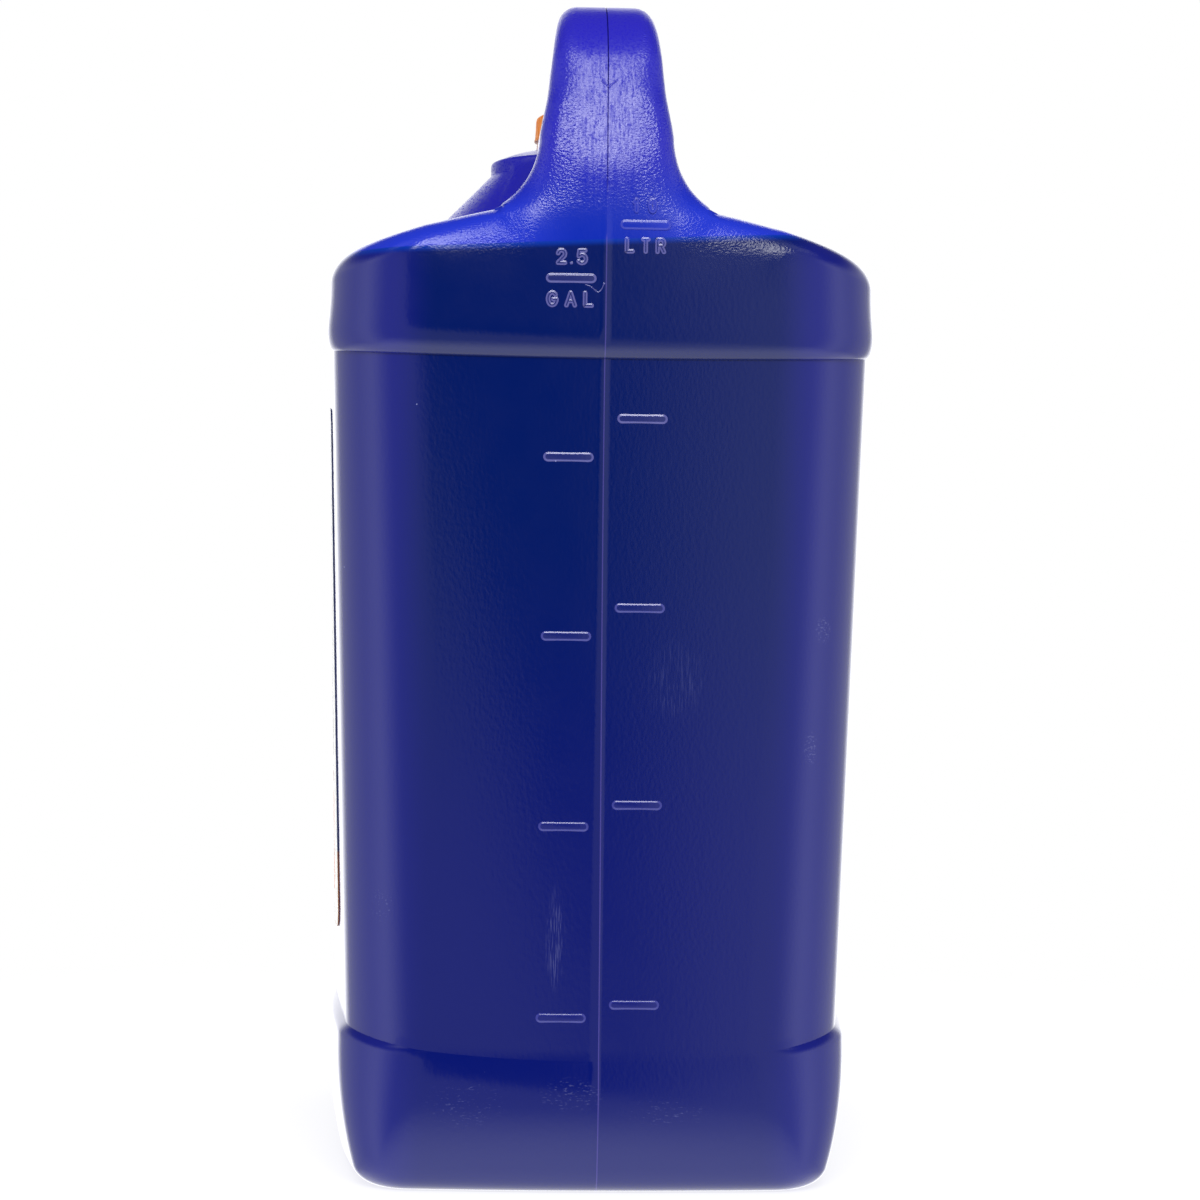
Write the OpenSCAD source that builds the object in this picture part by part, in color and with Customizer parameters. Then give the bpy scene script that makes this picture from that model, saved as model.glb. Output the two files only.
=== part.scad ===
// Ten-litre motor oil jug: one blown shell with a hollow handle, filled with oil,
// with a label on each wide side and an orange screw cap over the neck.
// The narrow end that carries the handle's root faces -Y, and the neck stands toward +Y.

/* [Body] */
// Height of the handle's crest above the base
overall_h = 363; // [358:1:374]
// Width between the corners at the foot of the waist
foot_w = 144; // [136:1:148]
// Width between the corners at the top of the waist
top_w = 159; // [154:1:164]
// Depth between the corners at the foot of the waist
foot_d = 211; // [200:1:216]
// Depth between the corners at the top of the waist
top_d = 223; // [216:1:230]
// Bow of each wide side at the foot of the waist
wide_bow_foot = 8.8; // [6:0.2:11]
// Bow of each wide side at the top of the waist
wide_bow_top = 4.8; // [3:0.2:8]
// Bow of each narrow end
narrow_bow = 3; // [1:0.5:5]
// Radius of the upright corners in plan
corner_r = 24; // [18:1:30]
// Thickness of the blown wall
wall = 1.8; // [1.2:0.1:2.6]

/* [Base] */
// Height of the crease where the base bulge meets the waist
lip_z = 50; // [44:1:54]
// Outward step of the base bulge at its fullest
base_out = 2.4; // [1.5:0.1:4]
// Height of the fullest part of the base bulge
belly_z = 38; // [28:1:40]
// How far the bulge draws in again towards the foot
belly_in = 6.6; // [4:0.2:9]
// Radius of the foot
foot_r = 6; // [4:0.5:9]
// Radius of the heel's corners in plan, before the foot's rounding
heel_corner_r = 13; // [10:1:20]
// Width of the flat heel that the jug stands on
heel_w = 9; // [6:1:12]
// Rise of the push-up inside the heel
push_up = 4; // [2:0.5:7]
// Rise of the base crease in the middle of the wide sides
lip_rise = 5; // [2:0.5:12]
// Dip of the base crease in the middle of the narrow ends
lip_dip = 5; // [0:0.5:8]

/* [Shoulder] */
// Depth of the crease under the shoulder band below the roof's ridge
shoulder_h = 51; // [48:1:60]
// Outward step of the shoulder band over the wide sides
band_out_w = 1.9; // [1:0.1:3.5]
// Outward step of the shoulder band over the narrow ends
band_out_d = 3; // [1:0.1:4]
// Height of the band's rounded underlip
band_lip_h = 7; // [4:0.5:10]
// Inward draw of the band's wall over its underlip
band_draw = 0.2; // [0:0.1:1.5]
// Rise of the band's crease in the middle of the wide sides
band_rise = 5; // [0:0.5:8]
// Radius between the upright walls and the roof
shoulder_r = 9; // [7:0.5:16]
// Rise of the ridge from the handle's end to the neck's end
ridge_rise = 6; // [0:1:10]
// Side slope of the roof, as a gradient
roof_slope = 0.333; // [0.25:0.01:0.4]
// Half-width over which the ridge is rounded
ridge_round = 20; // [10:1:30]

/* [Handle] */
// Height of the handle's crest over the roof's ridge at the narrow end
handle_rise = 58; // [54:1:62]
// Width of the near leg above its flare
leg_w = 40.5; // [36:0.5:46]
// Thickness of the near leg above its flare
leg_t = 30; // [26:1:34]
// Share of the taper from the leg to the grip that lies below the bend
leg_taper = 0.42; // [0.2:0.02:0.8]
// Inward lean of the near leg's outer face, as a gradient
leg_lean = 0.09; // [0:0.01:0.12]
// Width of the grip
grip_w = 28; // [25:1:34]
// Thickness of the grip
grip_t = 23; // [20:1:26]
// Radius of the leg's flare into the roof
flare_r = 24; // [16:1:28]
// Radius of the near bend along the handle's middle line
near_bend_r = 17; // [14:1:24]
// Radius of the far bend along the handle's middle line
far_bend_r = 14; // [12:1:20]
// Rounding of the handle's edges
handle_edge_r = 6.5; // [5:0.5:10]

/* [Neck] */
// Distance of the neck's axis from the middle of the jug
neck_y = 57; // [52:1:62]
// Radius of the round boss under the neck
boss_r = 32.8; // [31:0.2:37]
// Height of the boss's foot over the roof's ridge at the narrow end
boss_lift = 24.2; // [20:0.1:27]
// Height of the boss's upright wall
boss_wall_h = 4.8; // [3:0.1:6]
// Bevel round the boss's edge
boss_edge_r = 1.2; // [0.5:0.1:2]
// Rise of the boss's top from its edge to the neck
boss_rise = 3.7; // [2:0.1:5]
// Width of the flat collar round the neck's foot
collar_w = 3; // [2.5:0.5:6]
// Side slope of the cone under the boss, as a gradient
cone_slope = 0.95; // [0.8:0.01:1.1]
// Radius of the neck's bore
bore_r = 12.6; // [11:0.1:13.5]
// Wall of the neck at the thread's root
neck_wall = 2; // [1.6:0.1:2.4]
// Height of the neck's rim above the boss
neck_h = 11.4; // [10:0.2:14]
// Height of the bead that keeps the tamper ring on the neck
bead_h = 1; // [0.6:0.1:1.4]

/* [Cap] */
// Thickness of the cap's top
cap_top_t = 1.8; // [1.4:0.1:2.4]
// Thickness of the cap's skirt at the root of its grooves
cap_skirt_t = 1.3; // [1:0.1:1.8]
// Number of grip ribs round the cap
cap_ribs = 60; // [36:6:90]
// Depth of the grooves between the ribs
rib_depth = 0.45; // [0.2:0.05:0.7]
// Width of the bevel round the cap's crown
crown_w = 3; // [1.5:0.1:4]
// Height of the bevel round the cap's crown
crown_h = 2.1; // [1:0.1:2.6]
// Height of the thread's crest over its root
thread_depth = 0.7; // [0.4:0.1:0.9]
// Running clearance between the thread's crest and the cap
thread_gap = 0.3; // [0.2:0.05:0.5]
// Thickness of the liner disc inside the cap
liner_t = 1; // [0.6:0.1:1.5]
// Clearance between the liner and the neck's rim
seat_gap = 0.2; // [0.1:0.05:0.3]
// Height of the tamper ring
ring_h = 3.2; // [2:0.1:4]
// Wall of the tamper ring
ring_t = 1.1; // [0.8:0.1:1.6]
// Gap over and under the tamper ring
ring_gap = 0.4; // [0.2:0.1:0.8]

/* [Graduations] */
// Length of a graduation bar
bar_l = 15; // [10:0.5:18]
// Height of a graduation bar
bar_h = 2.7; // [1.5:0.1:4]
// How far a bar stands out from the wall
bar_out = 0.8; // [0.4:0.1:1.2]
// Distance from the seam to the near end of a bar
bar_gap = 3.2; // [2:0.2:6]

/* [Labels] */
// Width of each label along the wide side
label_w = 130; // [90:1:150]
// Distance of the label's lower edge over the base crease
label_foot_gap = 26; // [20:1:40]
// Distance of the label's upper edge under the shoulder's crease
label_head_gap = 14; // [6:1:60]
// Thickness of a label
label_t = 0.35; // [0.2:0.05:0.6]
// Radius of a label's corners
label_r = 8; // [2:1:20]
// Distance of a label from the wall
label_gap = 0.1; // [0.05:0.05:0.3]

/* [Oil] */
// Depth of the oil's surface below the roof's ridge at the narrow end
oil_drop = 16; // [14:1:80]
// Clearance between the oil and the wall
oil_gap = 0.3; // [0.2:0.1:0.6]

/* [Hidden] */

// Levels counted down from the handle's crest and up from the base
ridge_z = overall_h - handle_rise;
band_z = ridge_z - shoulder_h;
boss_z = ridge_z + boss_lift;
oil_z = ridge_z - oil_drop;
label_z = lip_z + label_foot_gap;
label_h = band_z - label_head_gap - label_z;

// Bars: half gallons left of the seam and two-litre steps right of it, as shares of the
// height from the base crease to the ridge
gallon_marks = [0.025, 0.247, 0.472, 0.683, 0.892];
litre_marks = [0.038, 0.275, 0.508, 0.731, 0.958];

// Points along a corner, a wide side and a narrow end of the outside, then of the inside
OUTER = [6, 6, 4];
INNER = [4, 5, 3];

// Radius of the base bulge's upper lip, and height over which the band's wall draws in
lip_r = 3;
draw_h = 13;

// Depth to which the cap's crown reaches into its ribbed skirt
crown_root = 0.5;

// Height over which the band's crease levels out, and how much flatter the band's wide sides are
crease_fade = 20;
band_flat = 2;

// Height over which the roof blends into the cone under the neck
roof_blend = 7;

// Depth of the handle's outer face under the narrow end's, and the least parting of two pieces
flush = 0.05;
fit = 0.01;

// Thickness of the roof, and of the handle's root in it, as a share of the wall's
roof_thick = 1.7;

// Width over which the base rises inside its heel
push_up_w = 10;

// Drops of the legs' roots below the ridge, and how far the legs run on into the body
leg_root_drop = 11;
far_root_drop = 3;
leg_sink = 22;
far_sink = 10;

// Distance of the far leg's middle from the boss, its spread toward its root, and its flare
// as a share of the near leg's
far_leg_gap = 6;
far_spread = 4;
far_flare = 0.6;

// Most that the near leg's flare spreads, how much the flare rounds the edges, and the least flat
// side of the handle's section
flare_max = 20;
flare_round = 0.35;
side_min = 0.5;

// Levels that follow from the driving sizes
boss_top = boss_z + boss_wall_h;
dome_top = boss_top + boss_rise;
rim_z = dome_top + neck_h;
neck_r = bore_r + neck_wall;
crest_r = neck_r + thread_depth;
cap_in_r = crest_r + thread_gap;
cap_r = cap_in_r + cap_skirt_t + rib_depth;
liner_z = rim_z + seat_gap;
cap_in_top = liner_z + liner_t;
cap_top = cap_in_top + cap_top_t;
ring_z = dome_top + ring_gap;
cap_z = ring_z + ring_h + ring_gap;
neck_foot_z = dome_top - 1.5 * wall;
end_y = top_d / 2 + band_out_d + narrow_bow;
grip_z = overall_h - grip_t / 2;
far_leg_y = neck_y - boss_r - far_leg_gap;
leg_root_z = ridge_z - leg_root_drop;
flare_top = leg_root_z + flare_r;
far_root_z = ridge_z - far_root_drop;

function mix(a, b, t) = a + (b - a) * t;
function unit(t) = min(1, max(0, t));
function ease(t) = let (u = unit(t)) u * u * (3 - 2 * u);
function soft_max(a, b, k) = let (h = unit(0.5 + (a - b) / (2 * k))) mix(b, a, h) + k * h * (1 - h);

// Plan outline: a rounded rectangle whose sides are bowed outward
function rounded_rect(a, b, r, n) = [
    for (q = [0:3])
        let (
            here = corner(a - r, b - r, q),
            next = corner(a - r, b - r, q + 1),
            side = n[q % 2 == 0 ? 2 : 1]
        )
        each concat(
            [for (i = [0:n[0]]) here + r * turn(90 * (q + i / n[0]))],
            [for (k = [1:side]) mix(here, next, k / (side + 1)) + r * turn(90 * (q + 1))]
        )
];
function turn(t) = [cos(t), sin(t)];
function corner(x, y, q) = [(q % 4 == 0 || q % 4 == 3) ? x : -x, q % 4 < 2 ? y : -y];
function bowed(p, a, b, wide) = [
    p[0] * (1 + wide / a * (1 - pow(p[1] / b, 2))),
    p[1] * (1 + narrow_bow / b * (1 - pow(p[0] / a, 2)))
];

// The upright wall: its half-sizes, bow and steps at height z
function rise(z) = unit((z - lip_z) / (band_z - lip_z));
function half_w(z) = mix(foot_w, top_w, rise(z)) / 2 + step_out(z, band_out_w);
function half_d(z) = mix(foot_d, top_d, rise(z)) / 2 + step_out(z, band_out_d);
function wide_bow(z) = mix(wide_bow_foot, wide_bow_top, rise(z)) - band_flat * ease((z - band_z) / crease_fade);
function belly(z) = base_out - belly_in * pow((belly_z - z) / belly_z, 2);
function step_out(z, band_out) =
    z <= lip_z - lip_r ? belly(z)
    : z < lip_z ? belly(z) * sqrt(1 - pow((z - lip_z + lip_r) / lip_r, 2))
    : z < band_z ? 0
    : z < band_z + band_lip_h ? band_out * sqrt(1 - pow(1 - (z - band_z) / band_lip_h, 2))
    : band_out - band_draw * unit((z - band_z - band_lip_h) / draw_h);
function foot_in(z) = z < foot_r ? foot_r - sqrt(foot_r * foot_r - pow(foot_r - z, 2)) : 0;

// The creases rise toward the middle of the wide sides, and the base's dips in the narrow ends
function crease_rise(z) =
    z < lip_z ? lip_rise * ease((z - foot_r) / (lip_z - foot_r))
    : z < band_z ? mix(lip_rise, band_rise, (z - lip_z) / (band_z - lip_z))
    : band_rise * (1 - ease((z - band_z) / crease_fade));
function crease_dip(z) =
    z < lip_z ? lip_dip * ease((z - foot_r) / (lip_z - foot_r))
    : lip_dip * (1 - unit((z - lip_z) / (band_z - lip_z)));
function side_share(y, b) = 1 - pow(y / b, 2);
function crease_shift(p, z, a, b) =
    crease_rise(z) * side_share(p[1], b) - crease_dip(z) * side_share(p[0], a);

// One ring of the upright wall, t inside its outer face and e further in
function wall_ring(z, t, n, e = 0) =
    let (
        th = t * unit(z / foot_r),
        inset = foot_in(z) + th + e,
        a = half_w(z) - inset,
        b = half_d(z) - inset,
        r = mix(heel_corner_r, corner_r, ease(z / lip_z)),
        up = t * (1 - unit(z / foot_r))
    )
    [for (p = rounded_rect(a, b, max(r / 2, r - inset), n))
        let (q = bowed(p, a, b, wide_bow(z)))
        [q[0], q[1], z + up + crease_shift(p, z, a, b)]];

// The roof: a gable with a rounded ridge, and a cone up to the boss
function gable(x, y) =
    ridge_z + ridge_rise * (y + end_y) / (2 * end_y)
    - roof_slope * (sqrt(x * x + ridge_round * ridge_round) - ridge_round);
function cone(x, y) = boss_z - cone_slope * (norm([x, y - neck_y]) - boss_r);
function roof(x, y) = min(boss_z, soft_max(gable(x, y), cone(x, y), roof_blend));

// Rings over the shoulder's rounding, from the upright wall (0 degrees) to the roof (90)
function shoulder_ring(angle, t, n) =
    let (
        r = shoulder_r - t,
        z = band_z + band_lip_h + draw_h,
        e = t + r * (1 - cos(angle)),
        a = half_w(z) - e,
        b = half_d(z) - e
    )
    [for (p = rounded_rect(a, b, corner_r - e, n))
        let (q = bowed(p, a, b, wide_bow(z)))
        [q[0], q[1], roof(q[0], q[1]) - t * roof_thick - r * (1 - sin(angle))]];

// Rings over the roof, from the shoulder (0) to the foot of the boss (1)
function roof_ring(s, t, n) =
    let (edge = shoulder_ring(90, t, n), foot = boss_ring(boss_r, boss_z, t, n))
    [for (j = [0:len(edge) - 1])
        let (q = mix(edge[j], foot[j], s))
        [q[0], q[1], s == 1 ? foot[j][2] : roof(q[0], q[1]) - t * roof_thick]];

// Rings round the boss under the neck, from its foot over its upright wall to the neck
function boss_ring(r, z, t, n) =
    let (count = 4 * (n[0] + 1) + 2 * n[1] + 2 * n[2])
    [for (j = [0:count - 1])
        let (p = [0, neck_y] + (r - t) * turn(360 / count * (j + (n[1] + 1) / 2)))
        [p[0], p[1], z - t]];
function boss_rings(t, n) = [
    boss_ring(boss_r, boss_top - boss_edge_r, t, n),
    boss_ring(boss_r - boss_edge_r, boss_top, t, n),
    boss_ring(neck_r + collar_w, dome_top, t, n)
];

// Heights at which the upright wall has a ring, outside and inside
OUTER_LEVELS = concat(
    [for (k = [0:3]) foot_r * (1 - cos(30 * k))],
    [for (k = [1:5]) mix(foot_r, lip_z - lip_r, k / 5)],
    [for (k = [1:3]) lip_z - lip_r + lip_r * sin(30 * k)],
    [for (k = [1:5]) mix(lip_z, band_z, k / 5)],
    [for (k = [1:4]) band_z + band_lip_h * (1 - cos(22.5 * k))],
    [band_z + band_lip_h + 5]
);
INNER_LEVELS = concat(
    [0, foot_r / 3, foot_r, belly_z / 2, belly_z, lip_z - lip_r - wall / 2, lip_z - 0.2],
    [for (k = [1:3]) mix(lip_z, band_z, k / 3)],
    [band_z + band_lip_h / 2, band_z + band_lip_h + 3]
);

function body_rings(t, n, fine) = concat(
    [
        [for (p = wall_ring(0, 0, n, heel_w + push_up_w)) [p[0], p[1], push_up + t]],
        [for (p = wall_ring(0, 0, n, heel_w)) [p[0], p[1], t]]
    ],
    [for (z = fine ? OUTER_LEVELS : INNER_LEVELS) wall_ring(z, t, n)],
    [for (k = [0:(fine ? 1 : 2):6]) shoulder_ring(15 * k, t, n)],
    [for (k = [1:6]) roof_ring(k / 6, t, n)],
    boss_rings(t, n)
);

// A closed solid through rings of equally many points
module loft(rings) {
    n = len(rings[0]);
    m = len(rings);
    polyhedron(
        points = [for (ring = rings) each ring],
        faces = concat(
            [[for (j = [0:n - 1]) j]],
            [for (i = [0:m - 2], j = [0:n - 1])
                let (k = (j + 1) % n)
                each [
                    [i * n + j, (i + 1) * n + j, (i + 1) * n + k],
                    [i * n + j, (i + 1) * n + k, i * n + k]
                ]],
            [[for (j = [n - 1:-1:0]) (m - 1) * n + j]]
        )
    );
}

// The handle's middle line: [y, z, direction, width, thickness, flare] at each station
function leg_share(z) = unit((z - flare_top) / (grip_z - near_bend_r - flare_top));
function flare(z, root) =
    let (h = unit((z - root) / flare_r)) flare_r * (1 - sqrt(1 - pow(1 - h, 2)));
function leg_face(z) = end_face(z) - flush - leg_lean * max(0, z - leg_root_z);
function end_face(z) = half_d(z) + narrow_bow;
function near_station(z) =
    let (t = mix(leg_t, grip_t, leg_share(z)))
    [t / 2 - leg_face(z), z, 90, mix(leg_w, mix(leg_w, grip_w, leg_taper), leg_share(z)), t,
        min(flare_max, flare(z, leg_root_z))];
function handle_stations(steps) =
    let (
        bend_z = grip_z - near_bend_r,
        far_z = grip_z - far_bend_r,
        leg_y = grip_t / 2 - leg_face(bend_z),
        w1 = mix(leg_w, grip_w, leg_taper)
    )
    concat(
        [near_station(leg_root_z - leg_sink)],
        [for (k = [0:steps]) near_station(leg_root_z + 1.5 + (flare_r - 1.5) * k / steps)],
        [near_station(mix(flare_top, bend_z, 0.5))],
        [for (k = [0:steps])
            let (d = 90 - 90 * k / steps)
            [leg_y + near_bend_r * (1 - sin(d)), bend_z + near_bend_r * cos(d), d,
                mix(w1, grip_w, k / steps), grip_t, 0]],
        [for (k = [1:3])
            [mix(leg_y + near_bend_r, far_leg_y - far_bend_r, k / 4), grip_z, 0, grip_w, grip_t, 0]],
        [for (k = [0:steps])
            let (d = -90 * k / steps)
            [far_leg_y - far_bend_r - far_bend_r * sin(d), far_z + far_bend_r * cos(d), d,
                grip_w, grip_t, 0]],
        [for (k = [1:steps])
            let (z = mix(far_z, far_root_z, k / steps))
            [far_leg_y, z, -90, grip_w + far_spread * k / steps, grip_t,
                far_flare * flare(z, far_root_z - 1)]],
        [[far_leg_y, far_root_z - far_sink, -90, grip_w + far_spread, grip_t, flare_max / 2]]
    );

// One ring round the handle, t inside its surface; the flare spreads sideways and into the gap
function handle_ring(s, t, n) =
    let (
        w = s[3] / 2 + s[5] - t,
        v1 = s[4] / 2 - t,
        v0 = s[4] / 2 + s[5] - t,
        half = (v0 + v1) / 2,
        mid = (v1 - v0) / 2,
        r = min(half - side_min, w - side_min, handle_edge_r - t + flare_round * s[5]),
        out = [-sin(s[2]), cos(s[2])]
    )
    [for (p = rounded_rect(w, half, r, n))
        let (v = mid + p[1] - narrow_bow * pow(p[0] / half_w(band_z), 2))
        [-p[0], s[0] + v * out[0], s[1] + v * out[1]]];

module handle(t, n, steps) {
    loft([for (s = handle_stations(steps)) handle_ring(s, t, n)]);
}

module body(t, n, fine) {
    loft(body_rings(t, n, fine));
}

// One graduation bar on the near wall, side -1 left of the seam and 1 right of it
module bar(z, side) {
    reach = bar_l / 2 - bar_h / 2;
    translate([side * (bar_gap + bar_l / 2), -end_face(z) + wall / 2, z])
        rotate([90, 0, 0])
            linear_extrude(wall / 2 + bar_out) {
                square([2 * reach, bar_h], center = true);
                for (x = [-reach, reach])
                    translate([x, 0]) circle(d = bar_h, $fn = 10);
            }
}

module shell() {
    difference() {
        union() {
            body(0, OUTER, true);
            handle(0, [4, 1, 2], 5);
            for (s = gallon_marks) bar(mix(lip_z, ridge_z, s), -1);
            for (s = litre_marks) bar(mix(lip_z, ridge_z, s), 1);
        }
        body(wall, INNER, false);
        handle(wall, [2, 1, 1], 4);
        translate([0, neck_y, boss_z]) cylinder(r = bore_r + neck_wall / 2, h = overall_h, $fn = 48);
    }
}

// The neck: a tube with a bead for the tamper ring
module neck() {
    translate([0, neck_y, 0])
        rotate_extrude($fn = 96)
            polygon([
                [bore_r, neck_foot_z],
                [neck_r, neck_foot_z],
                [neck_r, ring_z + ring_h / 2],
                [neck_r + thread_depth / 2, ring_z + ring_h / 2 + bead_h / 2],
                [neck_r, ring_z + ring_h / 2 + bead_h],
                [neck_r, rim_z],
                [bore_r, rim_z]
            ]);
}

module bottle() {
    color("#2b2fa8") {
        resize([0, 0, overall_h]) shell();
        neck();
    }
}

// The oil fills the shell up to its level
module oil() {
    inset = wall + oil_gap;
    color("#6b3f12")
        difference() {
            body(inset, INNER, false);
            translate([-end_y, -2 * end_y, oil_z]) cube([2 * end_y, 4 * end_y, overall_h]);
        }
}

// Surface of the wide wall at depth y and height z
function wide_face(y, z) =
    let (
        b = half_d(z),
        level = z - crease_rise(z) * side_share(y, b)
    )
    half_w(level) + wide_bow(level) * side_share(y, half_d(level));

function label_sheet(nu, nv) = [
    for (out = [label_gap, label_gap + label_t], j = [0:nv], i = [0:nu])
        let (
            y = label_w * (i / nu - 0.5),
            z = label_z + label_h * j / nv
        )
        [wide_face(y, z) + out, y, z]
];

// A label: a thin sheet that follows the wide wall, with rounded corners
module label() {
    nu = 8;
    nv = 6;
    row = nu + 1;
    top = row * (nv + 1);
    edge = concat(
        [for (i = [0:nu - 1]) i],
        [for (j = [0:nv - 1]) j * row + nu],
        [for (i = [nu:-1:1]) nv * row + i],
        [for (j = [nv:-1:1]) j * row]
    );
    count = len(edge);
    intersection() {
        polyhedron(
            points = label_sheet(nu, nv),
            faces = concat(
                [for (j = [0:nv - 1], i = [0:nu - 1])
                    let (a = j * row + i)
                    each [[a, a + 1, a + row + 1], [a, a + row + 1, a + row]]],
                [for (j = [0:nv - 1], i = [0:nu - 1])
                    let (a = top + j * row + i)
                    each [[a, a + row + 1, a + 1], [a, a + row, a + row + 1]]],
                [for (k = [0:count - 1])
                    let (a = edge[k], b = edge[(k + 1) % count])
                    each [[a, top + a, top + b], [a, top + b, b]]]
            )
        );
        translate([0, 0, label_z + label_h / 2])
            rotate([90, 0, 90])
                linear_extrude(end_y) rounded_plate(label_w, label_h, label_r);
    }
}

module rounded_plate(w, h, r) {
    square([w - 2 * r, h], center = true);
    square([w, h - 2 * r], center = true);
    for (x = [-1, 1], y = [-1, 1])
        translate([x * (w / 2 - r), y * (h / 2 - r)]) circle(r = r, $fn = 32);
}

module label_left() {
    color("#f2f1ee") mirror([1, 0, 0]) label();
}

module label_right() {
    color("#f2f1ee") label();
}

// The tamper ring stays on the neck, under the cap
module tamper_ring() {
    color("#e8862a")
        translate([0, neck_y, ring_z])
            difference() {
                cylinder(r = cap_in_r + ring_t, h = ring_h, $fn = 96);
                translate([0, 0, -1]) cylinder(r = cap_in_r - 0.1, h = ring_h + 2, $fn = 96);
            }
}

module cap_liner() {
    color("#f4f4f0")
        translate([0, neck_y, liner_z]) cylinder(r = cap_in_r - 0.4, h = liner_t - fit, $fn = 96);
}

// Outline of the cap across its ribs, each rib a shallow trapezium
function ribbed_outline() = [
    for (k = [0:cap_ribs - 1], p = [[0.1, 1], [0.4, 1], [0.6, 0], [0.9, 0]])
        (cap_r - rib_depth * (1 - p[1])) * turn(360 * (k + p[0]) / cap_ribs)
];

module cap() {
    rib_top = cap_top - crown_h;
    crown_r = cap_r - rib_depth - fit;
    color("#e8862a")
        translate([0, neck_y, 0])
            difference() {
                union() {
                    translate([0, 0, cap_z]) linear_extrude(rib_top - cap_z) polygon(ribbed_outline());
                    rotate_extrude($fn = 96)
                        polygon(concat(
                            [[0, cap_in_top], [cap_in_r + fit, cap_in_top]],
                            [for (r = [cap_in_r + fit, crown_r]) [r, rib_top - crown_root]],
                            [[crown_r, rib_top]],
                            [[crown_r - crown_w / 6, rib_top + crown_h / 3]],
                            [[crown_r - crown_w, cap_top], [0, cap_top]]
                        ));
                }
                translate([0, 0, cap_z - 1]) cylinder(r = cap_in_r, h = cap_in_top - cap_z + 1, $fn = 96);
            }
}

bottle();
oil();
label_left();
label_right();
tamper_ring();
cap_liner();
cap();
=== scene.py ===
"""Looks of a ten-litre motor oil jug: a blue blown shell seen from its handle end, on a white ground.

Lengths in the shape code are millimetres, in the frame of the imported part: +Z up, the handle at -Y.
"""

import math

import bpy
from mathutils import Matrix, Vector


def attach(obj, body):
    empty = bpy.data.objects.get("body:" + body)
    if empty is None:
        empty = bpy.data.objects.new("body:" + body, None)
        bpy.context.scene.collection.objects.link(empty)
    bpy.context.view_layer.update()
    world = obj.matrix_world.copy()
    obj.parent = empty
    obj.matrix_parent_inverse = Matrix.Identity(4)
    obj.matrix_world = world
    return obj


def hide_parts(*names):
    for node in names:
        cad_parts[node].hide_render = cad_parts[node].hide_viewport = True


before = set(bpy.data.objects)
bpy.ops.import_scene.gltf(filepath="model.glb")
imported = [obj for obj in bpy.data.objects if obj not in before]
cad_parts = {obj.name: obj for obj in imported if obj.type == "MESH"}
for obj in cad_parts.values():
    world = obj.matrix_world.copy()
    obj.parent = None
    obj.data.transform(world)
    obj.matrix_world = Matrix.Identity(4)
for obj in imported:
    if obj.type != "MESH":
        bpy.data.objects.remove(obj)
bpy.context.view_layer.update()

MM = 0.001

# Body of the jug
FOOT_W, TOP_W = 145, 161
FOOT_D, TOP_D = 211, 223
WIDE_BOW_FOOT, WIDE_BOW_TOP = 8.8, 4.8
NARROW_BOW = 3
CORNER_R = 24
WALL = 1.8

# Base
LIP_Z, LIP_R_W, LIP_R_D, LIP_RISE, LIP_DIP = 46.5, 3, 10, 6, 5.5
BASE_OUT_W, BASE_OUT_D, BELLY_Z, BELLY_IN = 2.4, 0.6, 38, 5.6
FOOT_R, HEEL_CORNER_R, HEEL_W, PUSH_UP = 6, 13, 9, 4

# Rings of the push-up under the base: distance in from the heel, and share of its rise
PUSH_RINGS = ((30, 1.0), (18, 1.0), (12, 0.97), (9, 0.85), (6, 0.6), (4, 0.35), (2, 0.12), (0, 0.0))

# Shoulder and roof
BAND_Z, BAND_OUT_W, BAND_OUT_D = 253.9, 1.9, 3.2
BAND_DIP = 1.2
BAND_LIP_H, BAND_DRAW, BAND_RISE, DRAW_H = 8.4, 0.2, 5, 11.6
CREASE_FADE, BAND_FLAT = 20, 2
SHOULDER_R, RIDGE_Z, RIDGE_RISE = 7.5, 305, 6
ROOF_SLOPE, RIDGE_ROUND, ROOF_BLEND = 0.333, 20, 7

# How far out the ends of the band reach, and the depth before which a point counts as near
END_Y, NEAR_Y = TOP_D / 2 + BAND_OUT_D + NARROW_BOW, -60

# Handle
TOP_Z = 363
LEG_W, LEG_T, LEG_TAPER, LEG_LEAN = 40.5, 30, 0.42, 0.13
GRIP_W, GRIP_T, FLARE_R = 28, 23, 24
NEAR_BEND_R, FAR_BEND_R, EDGE_R = 17, 14, 5.6
FLARE_MOST, LEG_EASE, SMOOTHING = 20, 0.3, 80
LEG_ROOT_Z = RIDGE_Z - 9.1
LEAN_Z, LEAN_H = RIDGE_Z - 2.5, 12
FLARE_TOP = LEG_ROOT_Z + FLARE_R
FAR_ROOT_Z = RIDGE_Z - 3
GRIP_Z = TOP_Z - GRIP_T / 2
FLUSH = 0.05

# Neck and cap
NECK_Y = 57
BOSS_R, BOSS_Z, BOSS_TOP, DOME_TOP = 32.8, 329.2, 334, 337.7
BOSS_EDGE_R, CONE_SLOPE, COLLAR_W = 1.2, 1.02, 3
BORE_R, NECK_R, CREST_R, RIM_Z = 12.6, 14.6, 15.3, 349.1
CAP_IN_R, CAP_R, CAP_Z, CAP_TOP = 15.6, 17.35, 341.7, 352.1
CAP_IN_TOP, CAP_RIBS, RIB_DEPTH = 350.3, 60, 0.45
THREAD_PITCH, THREAD_POINTS, RIB_POINTS, TURN_STEPS = 4.2, 72, 8, 144
CROWN_W, CROWN_H, DISH_R = 3.0, 2.1, 11
RING_Z, RING_H, RING_T = 338.1, 3.2, 1.1
BRIDGES, BRIDGE_AT, BRIDGE_R, BRIDGE_L = 12, 16.1, 0.45, 0.3
FAR_LEG_Y = NECK_Y - BOSS_R - 6

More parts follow.
